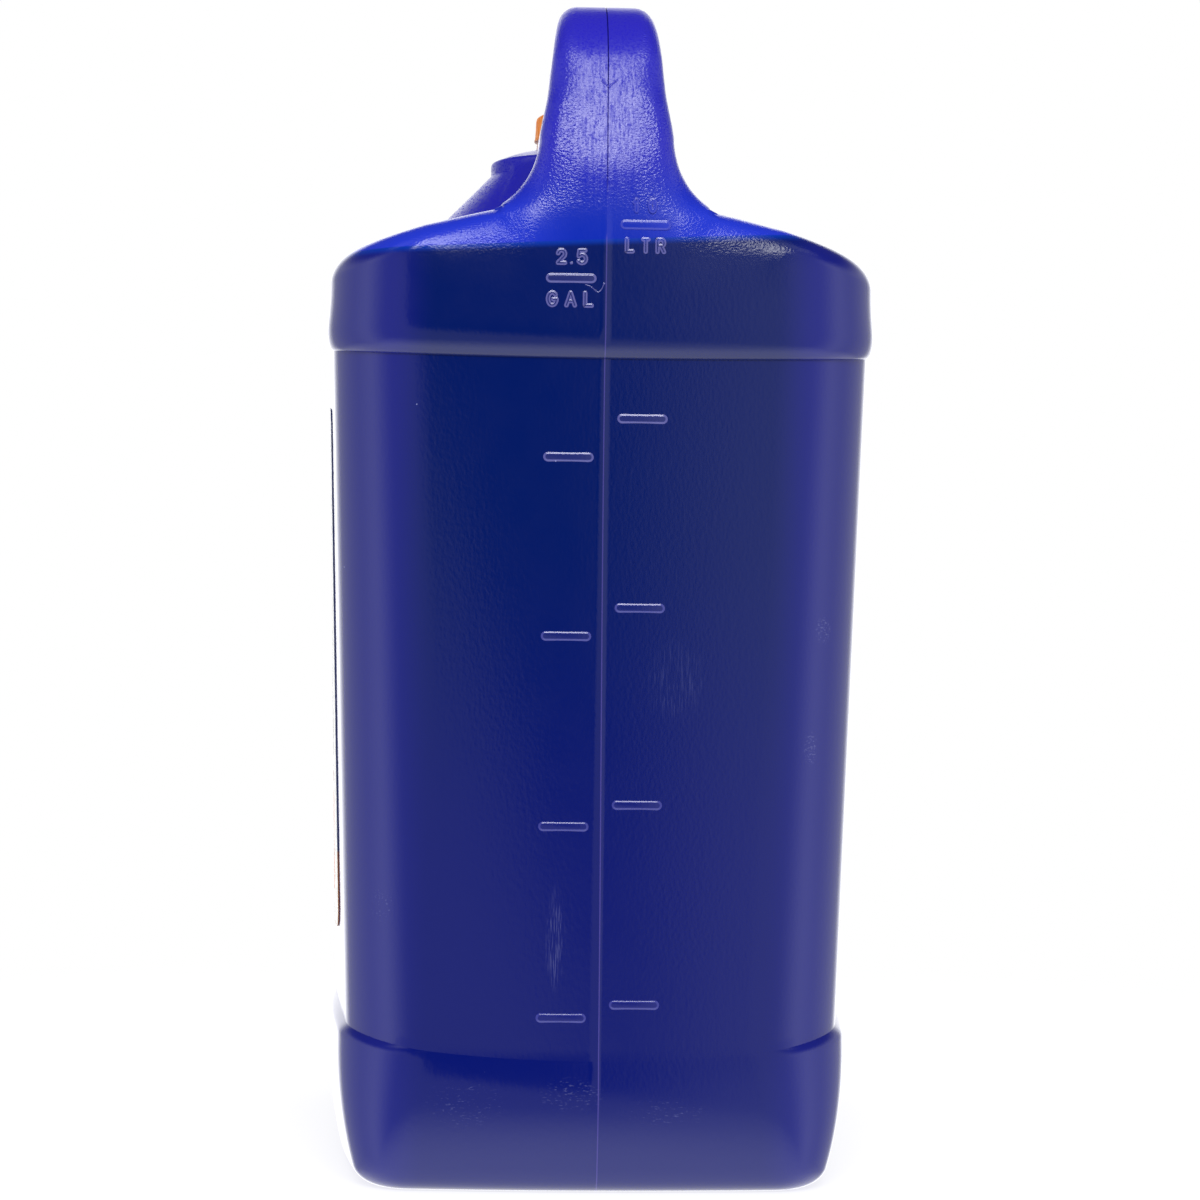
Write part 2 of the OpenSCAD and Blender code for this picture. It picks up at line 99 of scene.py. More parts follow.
# Marks on the near wall: the bars' heights are shares of the height between two levels, less a drop
MARKS_LOW, MARKS_HIGH, GALLON_DROP, LITRE_DROP = 50, 305, 1.0, 1.5
GALLON_MARKS = (0.020, 0.247, 0.472, 0.683, 0.892)
LITRE_MARKS = (0.038, 0.275, 0.508, 0.731, 0.958)
BAR_L, BAR_H, BAR_RELIEF, BAR_FLANK = 15.2, 2.9, 0.165, 0.65
GALLON_X, LITRE_X = -10.5, 11.6
TICK_H, TICK_W, TICK_OUT, TICK_STEP = 3.4, 0.45, 0.06, 1.1
TICKS = ((-72.4, 270), (74.2, 266.5), (70.3, 178), (66.1, 91.5), (-69.1, 91.5))
STROKE_W, STROKE_RELIEF, STROKE_FLANK, SUNK = 1.35, 0.115, 0.5, 0.4
ROOT_PROUD, BEND_PROUD = 0.12, 0.1
PINCH_X, PINCH_Z, PINCH = 0.2, 335.2, ((-2, 0.9), (0, -0.7), (2, 0.9))
POINT_Z, POINT = 281.0, ((-0.02, 0), (0.02, 0))
CURL = (
    (-6.2, 274.6), (-4.9, 274.2), (-3.9, 273.5), (-3.1, 272.7), (-2.4, 272.4), (-1.7, 272.8), (-1.2, 273.6),
    (-0.9, 274.4), (-0.7, 275.0))
CURL_END = (CURL[-1], (CURL[-1][0] + 0.1, CURL[-1][1]))

# Figures and unit letters: the mark, its middle in X and Z, and the width and height of its strokes' lines
LETTERS = (
    ("2", -13.5, 282.9, 2.15, 3.75), ("5", -7.35, 282.9, 2.35, 3.75),
    ("G", -16.1, 270.2, 2.55, 3.75), ("A", -10.6, 270.2, 2.5, 3.75), ("L", -5.3, 270.2, 1.95, 3.75),
    ("1", 8.8, 298.6, 1.2, 3.3), ("0", 13.6, 298.6, 1.5, 3.3),
    ("L", 6.9, 286.6, 1.75, 3.65), ("T", 11.7, 286.6, 1.5, 3.65), ("R", 16.2, 286.6, 1.95, 3.65))

# Parting line: half its width, its drift to one side at the foot, and how far it stands out of the wall
SEAM_HALF, SEAM_DRIFT = 0.17, 1.2
SEAM_FILLED, SEAM_EMPTY, SEAM_FAR, SEAM_ROOT, SEAM_PINCH = 0.07, 0.03, 0.1, -0.16, -0.35

# Labels
LABEL_W, LABEL_H, LABEL_Z = 130, 164, 76
LABEL_GAP, LABEL_T, LABEL_R = 0.1, 0.35, 8

# Colour line of the oil on the wall: its height at the seam and its rise across the wall
OIL_LINE, OIL_TILT = 288.3, 0.05
FOOT_BAND = 24

# Camera, in millimetres, degrees and pixels
CAMERA_DIST, CAMERA_AZ, CAMERA_YAW, CAMERA_Z, CAMERA_ROLL = 1065.3, 2.478, 0.267, 180.36, 0.736
FOCAL_PX, FRAME_PX, SENSOR = 3170, 1200, 36

# Studio, in metres and watts
FILL, FLOOR_R, FLOOR_Z, FLOOR_GLOW, HAZE_SLANT = 0.5, 0.62, -0.0002, 0.8, 0.88
KEY_PLACE, KEY_AIM, KEY_SIZE, KEY_POWER = (-0.03, -1.52, 1.08), (0, -0.111, 0.315), (0.74, 0.54), 6.6
SCRIM_PLACE, SCRIM_SIZE, SCRIM_POWER = (-0.03, -1.55, 1.1), (0.84, 0.76), 8.4

# Settings that many nodes share: a soft step between two values, and a mix of two colours
SOFT = {"interpolation_type": "SMOOTHSTEP"}
RGBA = {"data_type": "RGBA"}

# Rubbed places on the near wall: middle and reach in X and Z, the noise they show, its least value, strength
SCUFFS = (
    ((23, 156), (10, 15), "strokes", 0.5, 0.06), ((-12.5, 78), (3.6, 18), "strokes", 0.5, 0.14),
    ((-39, 28), (14, 9), "rub", 0.58, 0.16), ((-7, 31), (11, 6), "rub", 0.55, 0.2),
    ((22, 26), (16, 5), "rub", 0.58, 0.16), ((68, 172), (3, 5), "rub", 0.5, 0.2),
    ((64.5, 136), (2.5, 6), "rub", 0.5, 0.22), ((-65, 87), (4, 7), "rub", 0.58, 0.18))

# Fields printed on a label, each over the last: middle and half sizes in Y and Z, corner radius, colour
PRINT = (
    ((0, LABEL_H / 2), (LABEL_W / 2 - 0.3, LABEL_H / 2 - 0.3), LABEL_R - 0.3, "#f1f1ee"),
    ((0, 103), (44, 50), 6, "#141b3c"), ((0, 120), (37, 24), 4, "#dcdde2"),
    ((0, 79), (37, 10), 3, "#2a3e9e"), ((0, 46.5), (44, 1.6), 0.6, "#8e1d1a"),
    ((0, 26), (44, 16), 5, "#d9641a"),
    ((-27, 26), (10, 6), 2, "#f1f1ee"), ((0, 26), (10, 6), 2, "#f1f1ee"), ((27, 26), (10, 6), 2, "#f1f1ee"))

# Points round the body and round the handle: in a corner, along a wide side, along half a narrow end
BODY_POINTS = (14, 36, 14)
HANDLE_POINTS = (6, 4, 5)


def mix(a, b, t):
    return a + (b - a) * t


def unit(t):
    return min(1.0, max(0.0, t))


def ease(t):
    u = unit(t)
    return u * u * (3 - 2 * u)


def soft_max(a, b, k):
    h = unit(0.5 + (a - b) / (2 * k))
    return mix(b, a, h) + k * h * (1 - h)


def plan_ring(a, b, r, counts):
    """Rounded rectangle from the middle of the +X side round by +Y, with three close points at each seam."""
    arc, wide, narrow = counts
    xs = [mix(a - r, 2.0, k / narrow) for k in range(1, narrow + 1)]
    xs += [SEAM_HALF, 0.0]
    xs += [-x for x in reversed(xs[:-1])]
    ring = []
    for q, (sx, sy) in enumerate(((1, 1), (-1, 1), (-1, -1), (1, -1))):
        for i in range(arc + 1):
            t = math.radians(90 * (q + i / arc))
            ring.append((sx * (a - r) + r * math.cos(t), sy * (b - r) + r * math.sin(t)))
        if q % 2 == 0:
            ring += [(sy * x, sy * b) for x in xs]
        else:
            ring += [(sx * a, mix(sy, -sy, k / (wide + 1)) * (b - r)) for k in range(1, wide + 1)]
    return ring


def rise(z):
    return unit((z - LIP_Z) / (BAND_Z - LIP_Z))


def belly(z, base_out):
    return base_out - BELLY_IN * ((BELLY_Z - z) / BELLY_Z) ** 2


def step_out(z, base_out, lip_r, band_out):
    if z <= LIP_Z - lip_r:
        return belly(z, base_out)
    if z < LIP_Z:
        return belly(z, base_out) * (1 - ((z - LIP_Z + lip_r) / lip_r) ** 2)
    if z < BAND_Z:
        return 0.0
    if z < BAND_Z + BAND_LIP_H:
        return band_out * math.sqrt(1 - (1 - (z - BAND_Z) / BAND_LIP_H) ** 2)
    return band_out - BAND_DRAW * unit((z - BAND_Z - BAND_LIP_H) / DRAW_H)


def half_w(z):
    return mix(FOOT_W, TOP_W, rise(z)) / 2 + step_out(z, BASE_OUT_W, LIP_R_W, BAND_OUT_W)


def half_d(z):
    return mix(FOOT_D, TOP_D, rise(z)) / 2 + step_out(z, BASE_OUT_D, LIP_R_D, BAND_OUT_D)


def wide_bow(z):
    return mix(WIDE_BOW_FOOT, WIDE_BOW_TOP, rise(z)) - BAND_FLAT * ease((z - BAND_Z) / CREASE_FADE)


def bowed(p, a, b, wide):
    x = p[0] * (1 + wide / a * (1 - (p[1] / b) ** 2))
    y = p[1] * (1 + NARROW_BOW / b * (1 - (p[0] / a) ** 2))
    return x, y


def foot_in(z):
    return FOOT_R - math.sqrt(FOOT_R**2 - (FOOT_R - z) ** 2) if z < FOOT_R else 0.0


def crease_rise(z):
    if z < LIP_Z:
        return LIP_RISE * ease((z - FOOT_R) / (LIP_Z - FOOT_R))
    if z < BAND_Z:
        return mix(LIP_RISE, BAND_RISE, (z - LIP_Z) / (BAND_Z - LIP_Z))
    return BAND_RISE * (1 - ease((z - BAND_Z) / CREASE_FADE))


def crease_dip(z):
    if z < LIP_Z:
        return LIP_DIP * ease((z - FOOT_R) / (LIP_Z - FOOT_R))
    if z < BAND_Z:
        return mix(LIP_DIP, BAND_DIP, (z - LIP_Z) / (BAND_Z - LIP_Z))
    return BAND_DIP * (1 - ease((z - BAND_Z) / CREASE_FADE))


def wall_ring(z, inward=0.0):
    inset = foot_in(z) + inward
    a, b = half_w(z) - inset, half_d(z) - inset
    r = mix(HEEL_CORNER_R, CORNER_R, ease(z / LIP_Z))
    ring = []
    for p in plan_ring(a, b, max(r / 2, r - inset), BODY_POINTS):
        x, y = bowed(p, a, b, wide_bow(z))
        shift = crease_rise(z) * (1 - (p[1] / b) ** 2) - crease_dip(z) * (1 - (p[0] / a) ** 2)
        ring.append((x, y, z + shift))
    return ring


def roof(x, y):
    gable = RIDGE_Z + RIDGE_RISE * (y + END_Y) / (2 * END_Y)
    gable -= ROOF_SLOPE * (math.hypot(x, RIDGE_ROUND) - RIDGE_ROUND)
    cone = BOSS_Z - CONE_SLOPE * (math.hypot(x, y - NECK_Y) - BOSS_R)
    return min(BOSS_Z, soft_max(gable, cone, ROOF_BLEND))


def shoulder_plan(angle):
    """Plan points over the shoulder's rounding, and the drop under the roof there."""
    z = BAND_Z + BAND_LIP_H + DRAW_H
    inset = SHOULDER_R * (1 - math.cos(angle))
    a, b = half_w(z) - inset, half_d(z) - inset
    plan = plan_ring(a, b, CORNER_R - inset, BODY_POINTS)
    return [bowed(p, a, b, wide_bow(z)) for p in plan], SHOULDER_R * (1 - math.sin(angle))


def shoulder_ring(angle):
    plan, drop = shoulder_plan(angle)
    return [(x, y, roof(x, y) - drop) for x, y in plan]


def round_ring(r, z):
    """A circle about the neck's axis, with a point on the seam plane wherever the plan has one."""
    a, b = half_w(BAND_Z), half_d(BAND_Z)
    turns = [math.atan2(y / b, x / a) for x, y in plan_ring(a, b, CORNER_R, BODY_POINTS)]
    return [(r * math.cos(t), NECK_Y + r * math.sin(t), z) for t in turns]


def roof_ring(s):
    edge, foot = shoulder_ring(math.pi / 2), round_ring(BOSS_R, BOSS_Z)
    ring = []
    for (x0, y0, _), (x1, y1, _) in zip(edge, foot):
        x, y = mix(x0, x1, s), mix(y0, y1, s)
        ring.append((x, y, roof(x, y)))
    return ring


def steps(low, high, count):
    return [mix(low, high, k / count) for k in range(1, count + 1)]


def body_rings():
    rings = []
    for inward, s in PUSH_RINGS:
        rings.append([(x, y, PUSH_UP * s) for x, y, _ in wall_ring(0, HEEL_W + inward)])
    levels = [FOOT_R * (1 - math.cos(math.radians(9 * k))) for k in range(11)]
    levels += steps(FOOT_R, LIP_Z - LIP_R_W, 24)
    levels += [LIP_Z - LIP_R_W + LIP_R_W * math.sin(math.radians(11.25 * k)) for k in range(1, 9)]
    levels += steps(LIP_Z, BAND_Z, 60)
    levels += [BAND_Z + BAND_LIP_H * (1 - math.cos(math.radians(7.5 * k))) for k in range(1, 13)]
    levels += steps(BAND_Z + BAND_LIP_H, BAND_Z + BAND_LIP_H + DRAW_H, 5)
    rings += [wall_ring(z) for z in levels]
    rings += [shoulder_ring(math.radians(7.5 * k)) for k in range(13)]
    rings += [roof_ring(s) for s in steps(0, 1, 44)]
    edge = [math.radians(18 * k) for k in range(6)]
    rings += [round_ring(BOSS_R, z) for z in (BOSS_Z + 1.2, BOSS_Z + 2.4, BOSS_TOP - BOSS_EDGE_R)]
    rings += [round_ring(BOSS_R - BOSS_EDGE_R * (1 - math.cos(t)),
                         BOSS_TOP - BOSS_EDGE_R * (1 - math.sin(t))) for t in edge[1:]]
    dome_r = NECK_R + COLLAR_W
    rings += [round_ring(mix(BOSS_R - BOSS_EDGE_R, dome_r, t), mix(BOSS_TOP, DOME_TOP, math.sin(t * 1.57)))
              for t in steps(0, 1, 6)]
    rings += [round_ring(r, z) for r, z in neck_profile()]
    return rings


def neck_profile():
    """Radius and height up the outside of the neck, over its rim and down the bore."""
    bead_z = RING_Z + RING_H / 2
    return [
        (NECK_R + 0.8, DOME_TOP), (NECK_R + 0.2, DOME_TOP + 0.2), (NECK_R, DOME_TOP + 0.8),
        (NECK_R, bead_z), (NECK_R + 0.35, bead_z + 0.5), (NECK_R, bead_z + 1),
        (NECK_R, RIM_Z - 0.5), (NECK_R - 0.15, RIM_Z - 0.15), (NECK_R - 0.5, RIM_Z),
        (BORE_R + 0.4, RIM_Z), (BORE_R + 0.1, RIM_Z - 0.1), (BORE_R, RIM_Z - 0.4),
        (BORE_R, DOME_TOP - WALL), (BORE_R + 0.8, DOME_TOP - WALL - 1), (BORE_R + 0.8, RIDGE_Z),
    ]


def flare(z, root):
    h = unit((z - root) / FLARE_R)
    return FLARE_R * (1 - math.sqrt(1 - (1 - h) ** 2))


def end_face(z):
    return half_d(z) + NARROW_BOW


def leg_face(z):
    """The near leg's outer face: upright at its root, then leaning in along a soft bend."""
    bent = min(LEAN_H, max(0.0, z - LEAN_Z))
    return end_face(z) - FLUSH - LEG_LEAN * (bent**2 / (2 * LEAN_H) + max(0.0, z - LEAN_Z - LEAN_H))


def handle_stations():
    """Middle line of the handle: y, z, direction in degrees, width, thickness, flare."""
    bend_z, far_z = GRIP_Z - NEAR_BEND_R, GRIP_Z - FAR_BEND_R
    leg_y = GRIP_T / 2 - leg_face(bend_z)
    wrist_w = mix(LEG_W, GRIP_W, LEG_TAPER)
    stations = []
    for z in [LEG_ROOT_Z - 22] + steps(LEG_ROOT_Z, FLARE_TOP, 30) + steps(FLARE_TOP, bend_z, 10)[:-1]:
        u = (z - FLARE_TOP) / (bend_z - FLARE_TOP)
        share = mix(unit(u), ease(u), LEG_EASE)
        width, thick = mix(LEG_W, wrist_w, share), mix(LEG_T, GRIP_T, share)
        spread = min(FLARE_MOST, flare(z, LEG_ROOT_Z))
        stations.append((thick / 2 - leg_face(z), z, 90, width, thick, spread))
    for s in [0.0] + steps(0, 1, 16):
        d = math.radians(90 - 90 * s)
        y = leg_y + NEAR_BEND_R * (1 - math.sin(d))
        z = bend_z + NEAR_BEND_R * math.cos(d)
        stations.append((y, z, 90 - 90 * s, mix(wrist_w, GRIP_W, s), GRIP_T, 0))
    for s in steps(0, 1, 16)[:-1]:
        y = mix(leg_y + NEAR_BEND_R, FAR_LEG_Y - FAR_BEND_R, s)
        stations.append((y, GRIP_Z, 0, GRIP_W, GRIP_T, 0))
    for s in [0.0] + steps(0, 1, 16):
        d = math.radians(-90 * s)
        y = FAR_LEG_Y - FAR_BEND_R - FAR_BEND_R * math.sin(d)
        z = far_z + FAR_BEND_R * math.cos(d)
        stations.append((y, z, -90 * s, GRIP_W, GRIP_T, 0))
    for s in steps(0, 1, 20):
        z = mix(far_z, FAR_ROOT_Z, s)
        stations.append((FAR_LEG_Y, z, -90, GRIP_W + 4 * s, GRIP_T, 0.6 * flare(z, FAR_ROOT_Z - 1)))
    stations.append((FAR_LEG_Y, FAR_ROOT_Z - 10, -90, GRIP_W + 4, GRIP_T, 10))
    return stations


def handle_ring(station):
    y, z, turn, width, thick, spread = station
    w = width / 2 + spread
    outer, inner = thick / 2, thick / 2 + spread
    half, middle = (outer + inner) / 2, (outer - inner) / 2
    r = min(half - 0.5, w - 2.5, EDGE_R + 0.35 * spread)
    d = math.radians(turn)
    ring = []
    for p in plan_ring(w, half, r, HANDLE_POINTS):
        v = middle + p[1] - NARROW_BOW * (p[0] / half_w(BAND_Z)) ** 2
        ring.append((-p[0], y - v * math.sin(d), z + v * math.cos(d)))
    return ring


# Making and finishing meshes

def deselect():
    bpy.ops.object.select_all(action="DESELECT")


def activate(obj):
    deselect()
    obj.select_set(True)
    bpy.context.view_layer.objects.active = obj


def face_outward(obj):
    activate(obj)
    bpy.ops.object.mode_set(mode="EDIT")
    bpy.ops.mesh.select_all(action="SELECT")
    bpy.ops.mesh.normals_make_consistent(inside=False)
    bpy.ops.object.mode_set(mode="OBJECT")


def new_object(name, verts, faces, edges=()):
    """A mesh object from points in millimetres."""
    mesh = bpy.data.meshes.new(name)
    mesh.from_pydata([Vector(v) * MM for v in verts], edges, faces)
    obj = bpy.data.objects.new(name, mesh)
    bpy.context.collection.objects.link(obj)
    face_outward(obj)
    return obj


def loft(name, rings):
    """A skin through rings of equally many points: its sides, ring by ring, and then its two ends."""
    n, last = len(rings[0]), (len(rings) - 1) * len(rings[0])
    verts = [p for ring in rings for p in ring]
    faces = []
    for a in range(0, last, n):
        faces += [(a + j, a + (j + 1) % n, a + n + (j + 1) % n, a + n + j) for j in range(n)]
    faces += [tuple(reversed(range(n))), tuple(range(last, last + n))]
    return new_object(name, verts, faces)


def apply(obj, kind, **settings):
    activate(obj)
    modifier = obj.modifiers.new(kind, kind)
    for key, value in settings.items():
        setattr(modifier, key, value)
    bpy.ops.object.modifier_apply(modifier=modifier.name)


def smooth(obj, degrees=35):
    activate(obj)
    bpy.ops.object.shade_smooth_by_angle(angle=math.radians(degrees))


def join(target, others):
    deselect()
    for obj in others:
        obj.select_set(True)
    target.select_set(True)
    bpy.context.view_layer.objects.active = target
    bpy.ops.object.join()


def near_wall(x, z):
    """Depth of the near wall x from the seam at height z, round the corners too, or of the leg above it."""
    if z > RIDGE_Z:
        return NARROW_BOW * (x / half_w(BAND_Z)) ** 2 - leg_face(z)
    share = max(0.0, 1 - (x / half_w(z)) ** 2)
    past = min(CORNER_R - 0.1, max(0.0, abs(x) - half_w(z) + CORNER_R))
    corner = CORNER_R - math.sqrt(CORNER_R**2 - past**2)
    return corner - half_d(z + crease_dip(z) * share) - NARROW_BOW * share


def on_near_wall(obj, x, z):
    """Lays a flat piece made in the XY plane against the near wall at x and z.

    The handle's softened root and bend stand a little proud of the worked-out wall, and the piece with them.
    """
    proud = 0
    if LEG_ROOT_Z < z < LEG_ROOT_Z + 8:
        proud = ROOT_PROUD
    if z > GRIP_Z - NEAR_BEND_R:
        proud = BEND_PROUD
    for v in obj.data.vertices:
        px, pz = x + v.co.x / MM, z + v.co.y / MM
        v.co = Vector((px, near_wall(px, pz) - proud - v.co.z / MM, pz)) * MM


def turned(name, section):
    """A piece turned about the neck's axis from a closed section of (radius, height) points."""
    n = len(section)
    obj = new_object(name, [(r, NECK_Y, z) for r, z in section], [], [(k, (k + 1) % n) for k in range(n)])
    bpy.ops.object.mode_set(mode="EDIT")
    bpy.ops.mesh.select_all(action="SELECT")
    bpy.ops.mesh.spin(steps=TURN_STEPS, angle=math.tau, center=(0, NECK_Y * MM, 0), axis=(0, 0, 1))
    bpy.ops.mesh.select_all(action="SELECT")
    bpy.ops.mesh.remove_doubles(threshold=0.000005)
    bpy.ops.object.mode_set(mode="OBJECT")
    face_outward(obj)
    return obj


def helix(name, root, crest, low, turns, root_h, crest_h):
    """A screw thread's ridge about the neck's axis, right-handed, thinning out at both ends."""
    rings = []
    count = round(turns * THREAD_POINTS)
    for k in range(count + 1):
        t = math.tau * turns * k / count
        full = ease(min(k, count - k) / 9)
        top = mix(root, crest, mix(0.02, 1, full))
        z = low + THREAD_PITCH * t / math.tau
        ring = []
        for r, dz in ((root, -root_h / 2), (top, -crest_h / 2), (top, crest_h / 2), (root, root_h / 2)):
            ring.append((r * math.cos(t), NECK_Y + r * math.sin(t), z + dz))
        rings.append(ring)
    return loft(name, rings)


def main_shell():
    shell = loft("jug_shell", body_rings())
    handle = loft("jug_handle", [handle_ring(s) for s in handle_stations()])
    apply(shell, "BOOLEAN", operation="UNION", solver="EXACT", object=handle)
    bpy.data.objects.remove(handle)
    soften_roots(shell)
    press_seam(shell)
    return shell


def soften_roots(shell):
    """Rounds the valley where the handle's two legs meet the roof, and the start of the near bend."""
    group = shell.vertex_groups.new(name="roots")
    for v in shell.data.vertices:
        x, y, z = v.co / MM
        near = y < NEAR_Y and abs(x) < 54 and z > RIDGE_Z - 20
        far = -12 < y < 38 and abs(x) < 32 and z > RIDGE_Z - 4
        if (near or far) and z < 331:
            weight = unit(1.2 - abs(z - roof(x, y)) / 10)
            if y < LEG_T - END_Y and abs(x) < 36:
                weight = max(weight, unit(1.3 - abs(z - RIDGE_Z + 7) / 10))
            if weight > 0:
                group.add([v.index], weight, "REPLACE")
        elif y < NEAR_Y and abs(x) < 30 and abs(z - GRIP_Z + NEAR_BEND_R) < 9:
            group.add([v.index], unit(1.3 - abs(z - GRIP_Z + NEAR_BEND_R) / 7), "REPLACE")
    apply(shell, "SMOOTH", factor=0.5, iterations=SMOOTHING, use_x=False, vertex_group="roots")


def seam_height(x, y, z):
    """Height of the parting line: a fine ridge, and a pinched groove over the crest of the handle."""
    if abs(x) > 0.01 or math.hypot(x, y - NECK_Y) < BOSS_R + 1 and z > BOSS_Z - 0.5:
        return 0.0
    if y > NEAR_Y:
        return mix(SEAM_FAR, SEAM_PINCH, ease((z - 350) / 4))
    wall = mix(SEAM_FILLED, SEAM_EMPTY, ease((z - OIL_LINE) / 3))
    leg = mix(wall, SEAM_ROOT, ease((z - 301) / 6))
    return mix(leg, SEAM_PINCH, ease((z - PINCH_Z + 0.5) / 1.5))


def press_seam(shell):
    mesh = shell.data
    moves = []
    for v in mesh.vertices:
        h = seam_height(*(v.co / MM))
        if h:
            moves.append((v.index, v.normal * h * MM))
        x, y, z = v.co / MM
        if abs(x) < SEAM_HALF + 0.01 and y < NEAR_Y and z < BAND_Z:
            moves.append((v.index, Vector((SEAM_DRIFT * (1 - z / BAND_Z) * MM, 0, 0))))
    for index, move in moves:
        mesh.vertices[index].co += move


# Raised marks

def arc(x, y, rx, ry, start, end, count=14):
    turns = [math.radians(mix(start, end, k / count)) for k in range(count + 1)]
    return [(x + rx * math.cos(t), y + ry * math.sin(t)) for t in turns]


# The strokes of each figure and letter, in a square of side 1 about the middle
GLYPHS = {
    "0": [arc(0, 0, 0.5, 0.5, 90, 450, 24)],
    "1": [[(-0.4, 0.26), (0, 0.5)], [(0, 0.5), (0, -0.5)]],
    "2": [arc(0, 0.2, 0.48, 0.3, 170, -28) + [(-0.48, -0.5)], [(-0.48, -0.5), (0.5, -0.5)]],
    "5": [[(-0.34, 0.5), (0.4, 0.5)], [(-0.34, 0.5), (-0.42, 0.05)], arc(0, -0.17, 0.5, 0.33, 140, -145)],
    "A": [[(-0.5, -0.5), (0, 0.5)], [(0, 0.5), (0.5, -0.5)], [(-0.32, -0.16), (0.32, -0.16)]],
    "G": [arc(0, 0, 0.5, 0.5, 42, 355, 20), [(0.12, -0.04), (0.5, -0.04)]],
    "L": [[(-0.5, 0.5), (-0.5, -0.5)], [(-0.5, -0.5), (0.5, -0.5)]],
    "R": [[(-0.5, -0.5), (-0.5, 0.5)], [(0.02, -0.02), (0.5, -0.5)],
          [(-0.5, 0.5)] + arc(0.15, 0.24, 0.35, 0.26, 90, -90) + [(-0.5, -0.02)]],
    "T": [[(-0.5, 0.5), (0.5, 0.5)], [(0, 0.5), (0, -0.5)]],
}


def outline(path, r):
    """The closed line at distance r round an open path, with round ends."""
    points = [Vector(p) for p in path]
    ways = [(b - a).normalized() for a, b in zip(points, points[1:])]
    left, right = [], []
    for p, before, after in zip(points, ways[:1] + ways, ways + ways[-1:]):
        middle = (before + after).normalized()
        side = Vector((-middle.y, middle.x)) * r / max(0.6, middle.dot(before))
        left.append(p + side)
        right.append(p - side)
    ring = left
    for tip, way, flank in ((points[-1], ways[-1], right[::-1]), (points[0], -ways[0], [])):
        for k in range(1, 8):
            t = math.radians(90 - 22.5 * k)
            ring = ring + [tip + (way * math.cos(t) + Vector((-way.y, way.x)) * math.sin(t)) * r]
        ring = ring + flank
    return ring


def stroke(name, path, width, out, flank, x, z):
    """A raised line with round ends and soft sides on the near wall, on a path in millimetres round x, z."""
    half = width / 2
    levels = [(half, -SUNK)] + [(half - flank * u, out * ease(u)) for u in (0, 0.2, 0.4, 0.6, 0.8, 1)]
    rings = [[(p.x, p.y, height) for p in outline(path, r)] for r, height in levels]
    obj = loft(name, rings)
    on_near_wall(obj, x, z)
    sides = len(rings[0]) * (len(rings) - 1)
    for face in obj.data.polygons:
        face.material_index = 1 if face.index < sides else 2
    return obj


def ticks(x, z):
    """Three short upright strokes, a mould mark near a corner."""
    reach = (TICK_H - TICK_W) / 2
    path, flank = [(0, reach), (0, -reach)], TICK_W / 2 - 0.02
    return [stroke("tick", path, TICK_W, TICK_OUT, flank, x + TICK_STEP * k, z) for k in (-1, 0, 1)]


def letter(mark, x, z, width, height):
    """A raised figure or letter, made to the width and height of its strokes' middle lines."""
    paths = [[(u * width, v * height) for u, v in path] for path in GLYPHS[mark]]
    return [stroke("mark", path, STROKE_W, STROKE_RELIEF, STROKE_FLANK, x, z) for path in paths]


def bar(x, z):
    """A graduation bar: a low stadium with sloping edges."""
    reach = (BAR_L - BAR_H) / 2
    return stroke("bar", [(-reach, 0), (reach, 0)], BAR_H, BAR_RELIEF, BAR_FLANK, x, z)


# Cap, ring, liner and labels

def rib(k):
    """How deep in the groove beside a rib the k-th point round the cap lies, from 0 to 1."""
    phase = (k % RIB_POINTS) / RIB_POINTS
    return ease((abs(2 * phase - 1) - 0.3) / 0.3)


def cap_ring(r, z, ribbed):
    count = CAP_RIBS * RIB_POINTS
    ring = []
    for k in range(count):
        t = math.tau * k / count
        d = r - RIB_DEPTH * ribbed * rib(k)
        ring.append((d * math.cos(t), NECK_Y + d * math.sin(t), z))
    return ring


def screw_cap():
    """The closure: a ribbed skirt, a bevelled crown and a dish, hollow from below, with its thread."""
    crown_foot, inner = CAP_TOP - CROWN_H, CAP_IN_R
    section = [
        (0.4, CAP_IN_TOP, 0), (inner - 0.5, CAP_IN_TOP, 0), (inner, CAP_IN_TOP - 0.5, 0),
        (inner, CAP_Z + 0.5, 0), (inner + 0.3, CAP_Z, 0), (CAP_R - 0.3, CAP_Z, 0.2),
        (CAP_R + 0.3, CAP_Z + 0.3, 0.2), (CAP_R + 0.25, CAP_Z + 0.8, 0.4), (CAP_R, CAP_Z + 1.3, 1),
        (CAP_R - 0.3, crown_foot - 0.9, 1), (CAP_R - 0.38, crown_foot - 0.4, 0.9),
        (CAP_R - 0.6, crown_foot + 0.1, 0.55), (CAP_R - 1.1, crown_foot + 0.6, 0.15),
        (CAP_R - CROWN_W, CAP_TOP - 0.35, 0), (CAP_R - CROWN_W - 0.5, CAP_TOP - 0.08, 0),
        (CAP_R - CROWN_W - 1.1, CAP_TOP, 0), (DISH_R + 0.5, CAP_TOP, 0), (DISH_R + 0.2, CAP_TOP - 0.06, 0),
        (DISH_R - 0.2, CAP_TOP - 0.3, 0), (DISH_R - 0.6, CAP_TOP - 0.35, 0), (1.7, CAP_TOP - 0.35, 0),
        (1.4, CAP_TOP - 0.2, 0), (0.4, CAP_TOP - 0.16, 0),
    ]
    cap = loft("screw_cap", [cap_ring(*level) for level in section])
    thread = helix("cap_thread", CAP_IN_R + 0.1, CAP_IN_R - 0.6, CAP_Z + 1.6, 1.3, 1.3, 0.5)
    join(cap, [thread])
    smooth(cap, 40)
    return cap


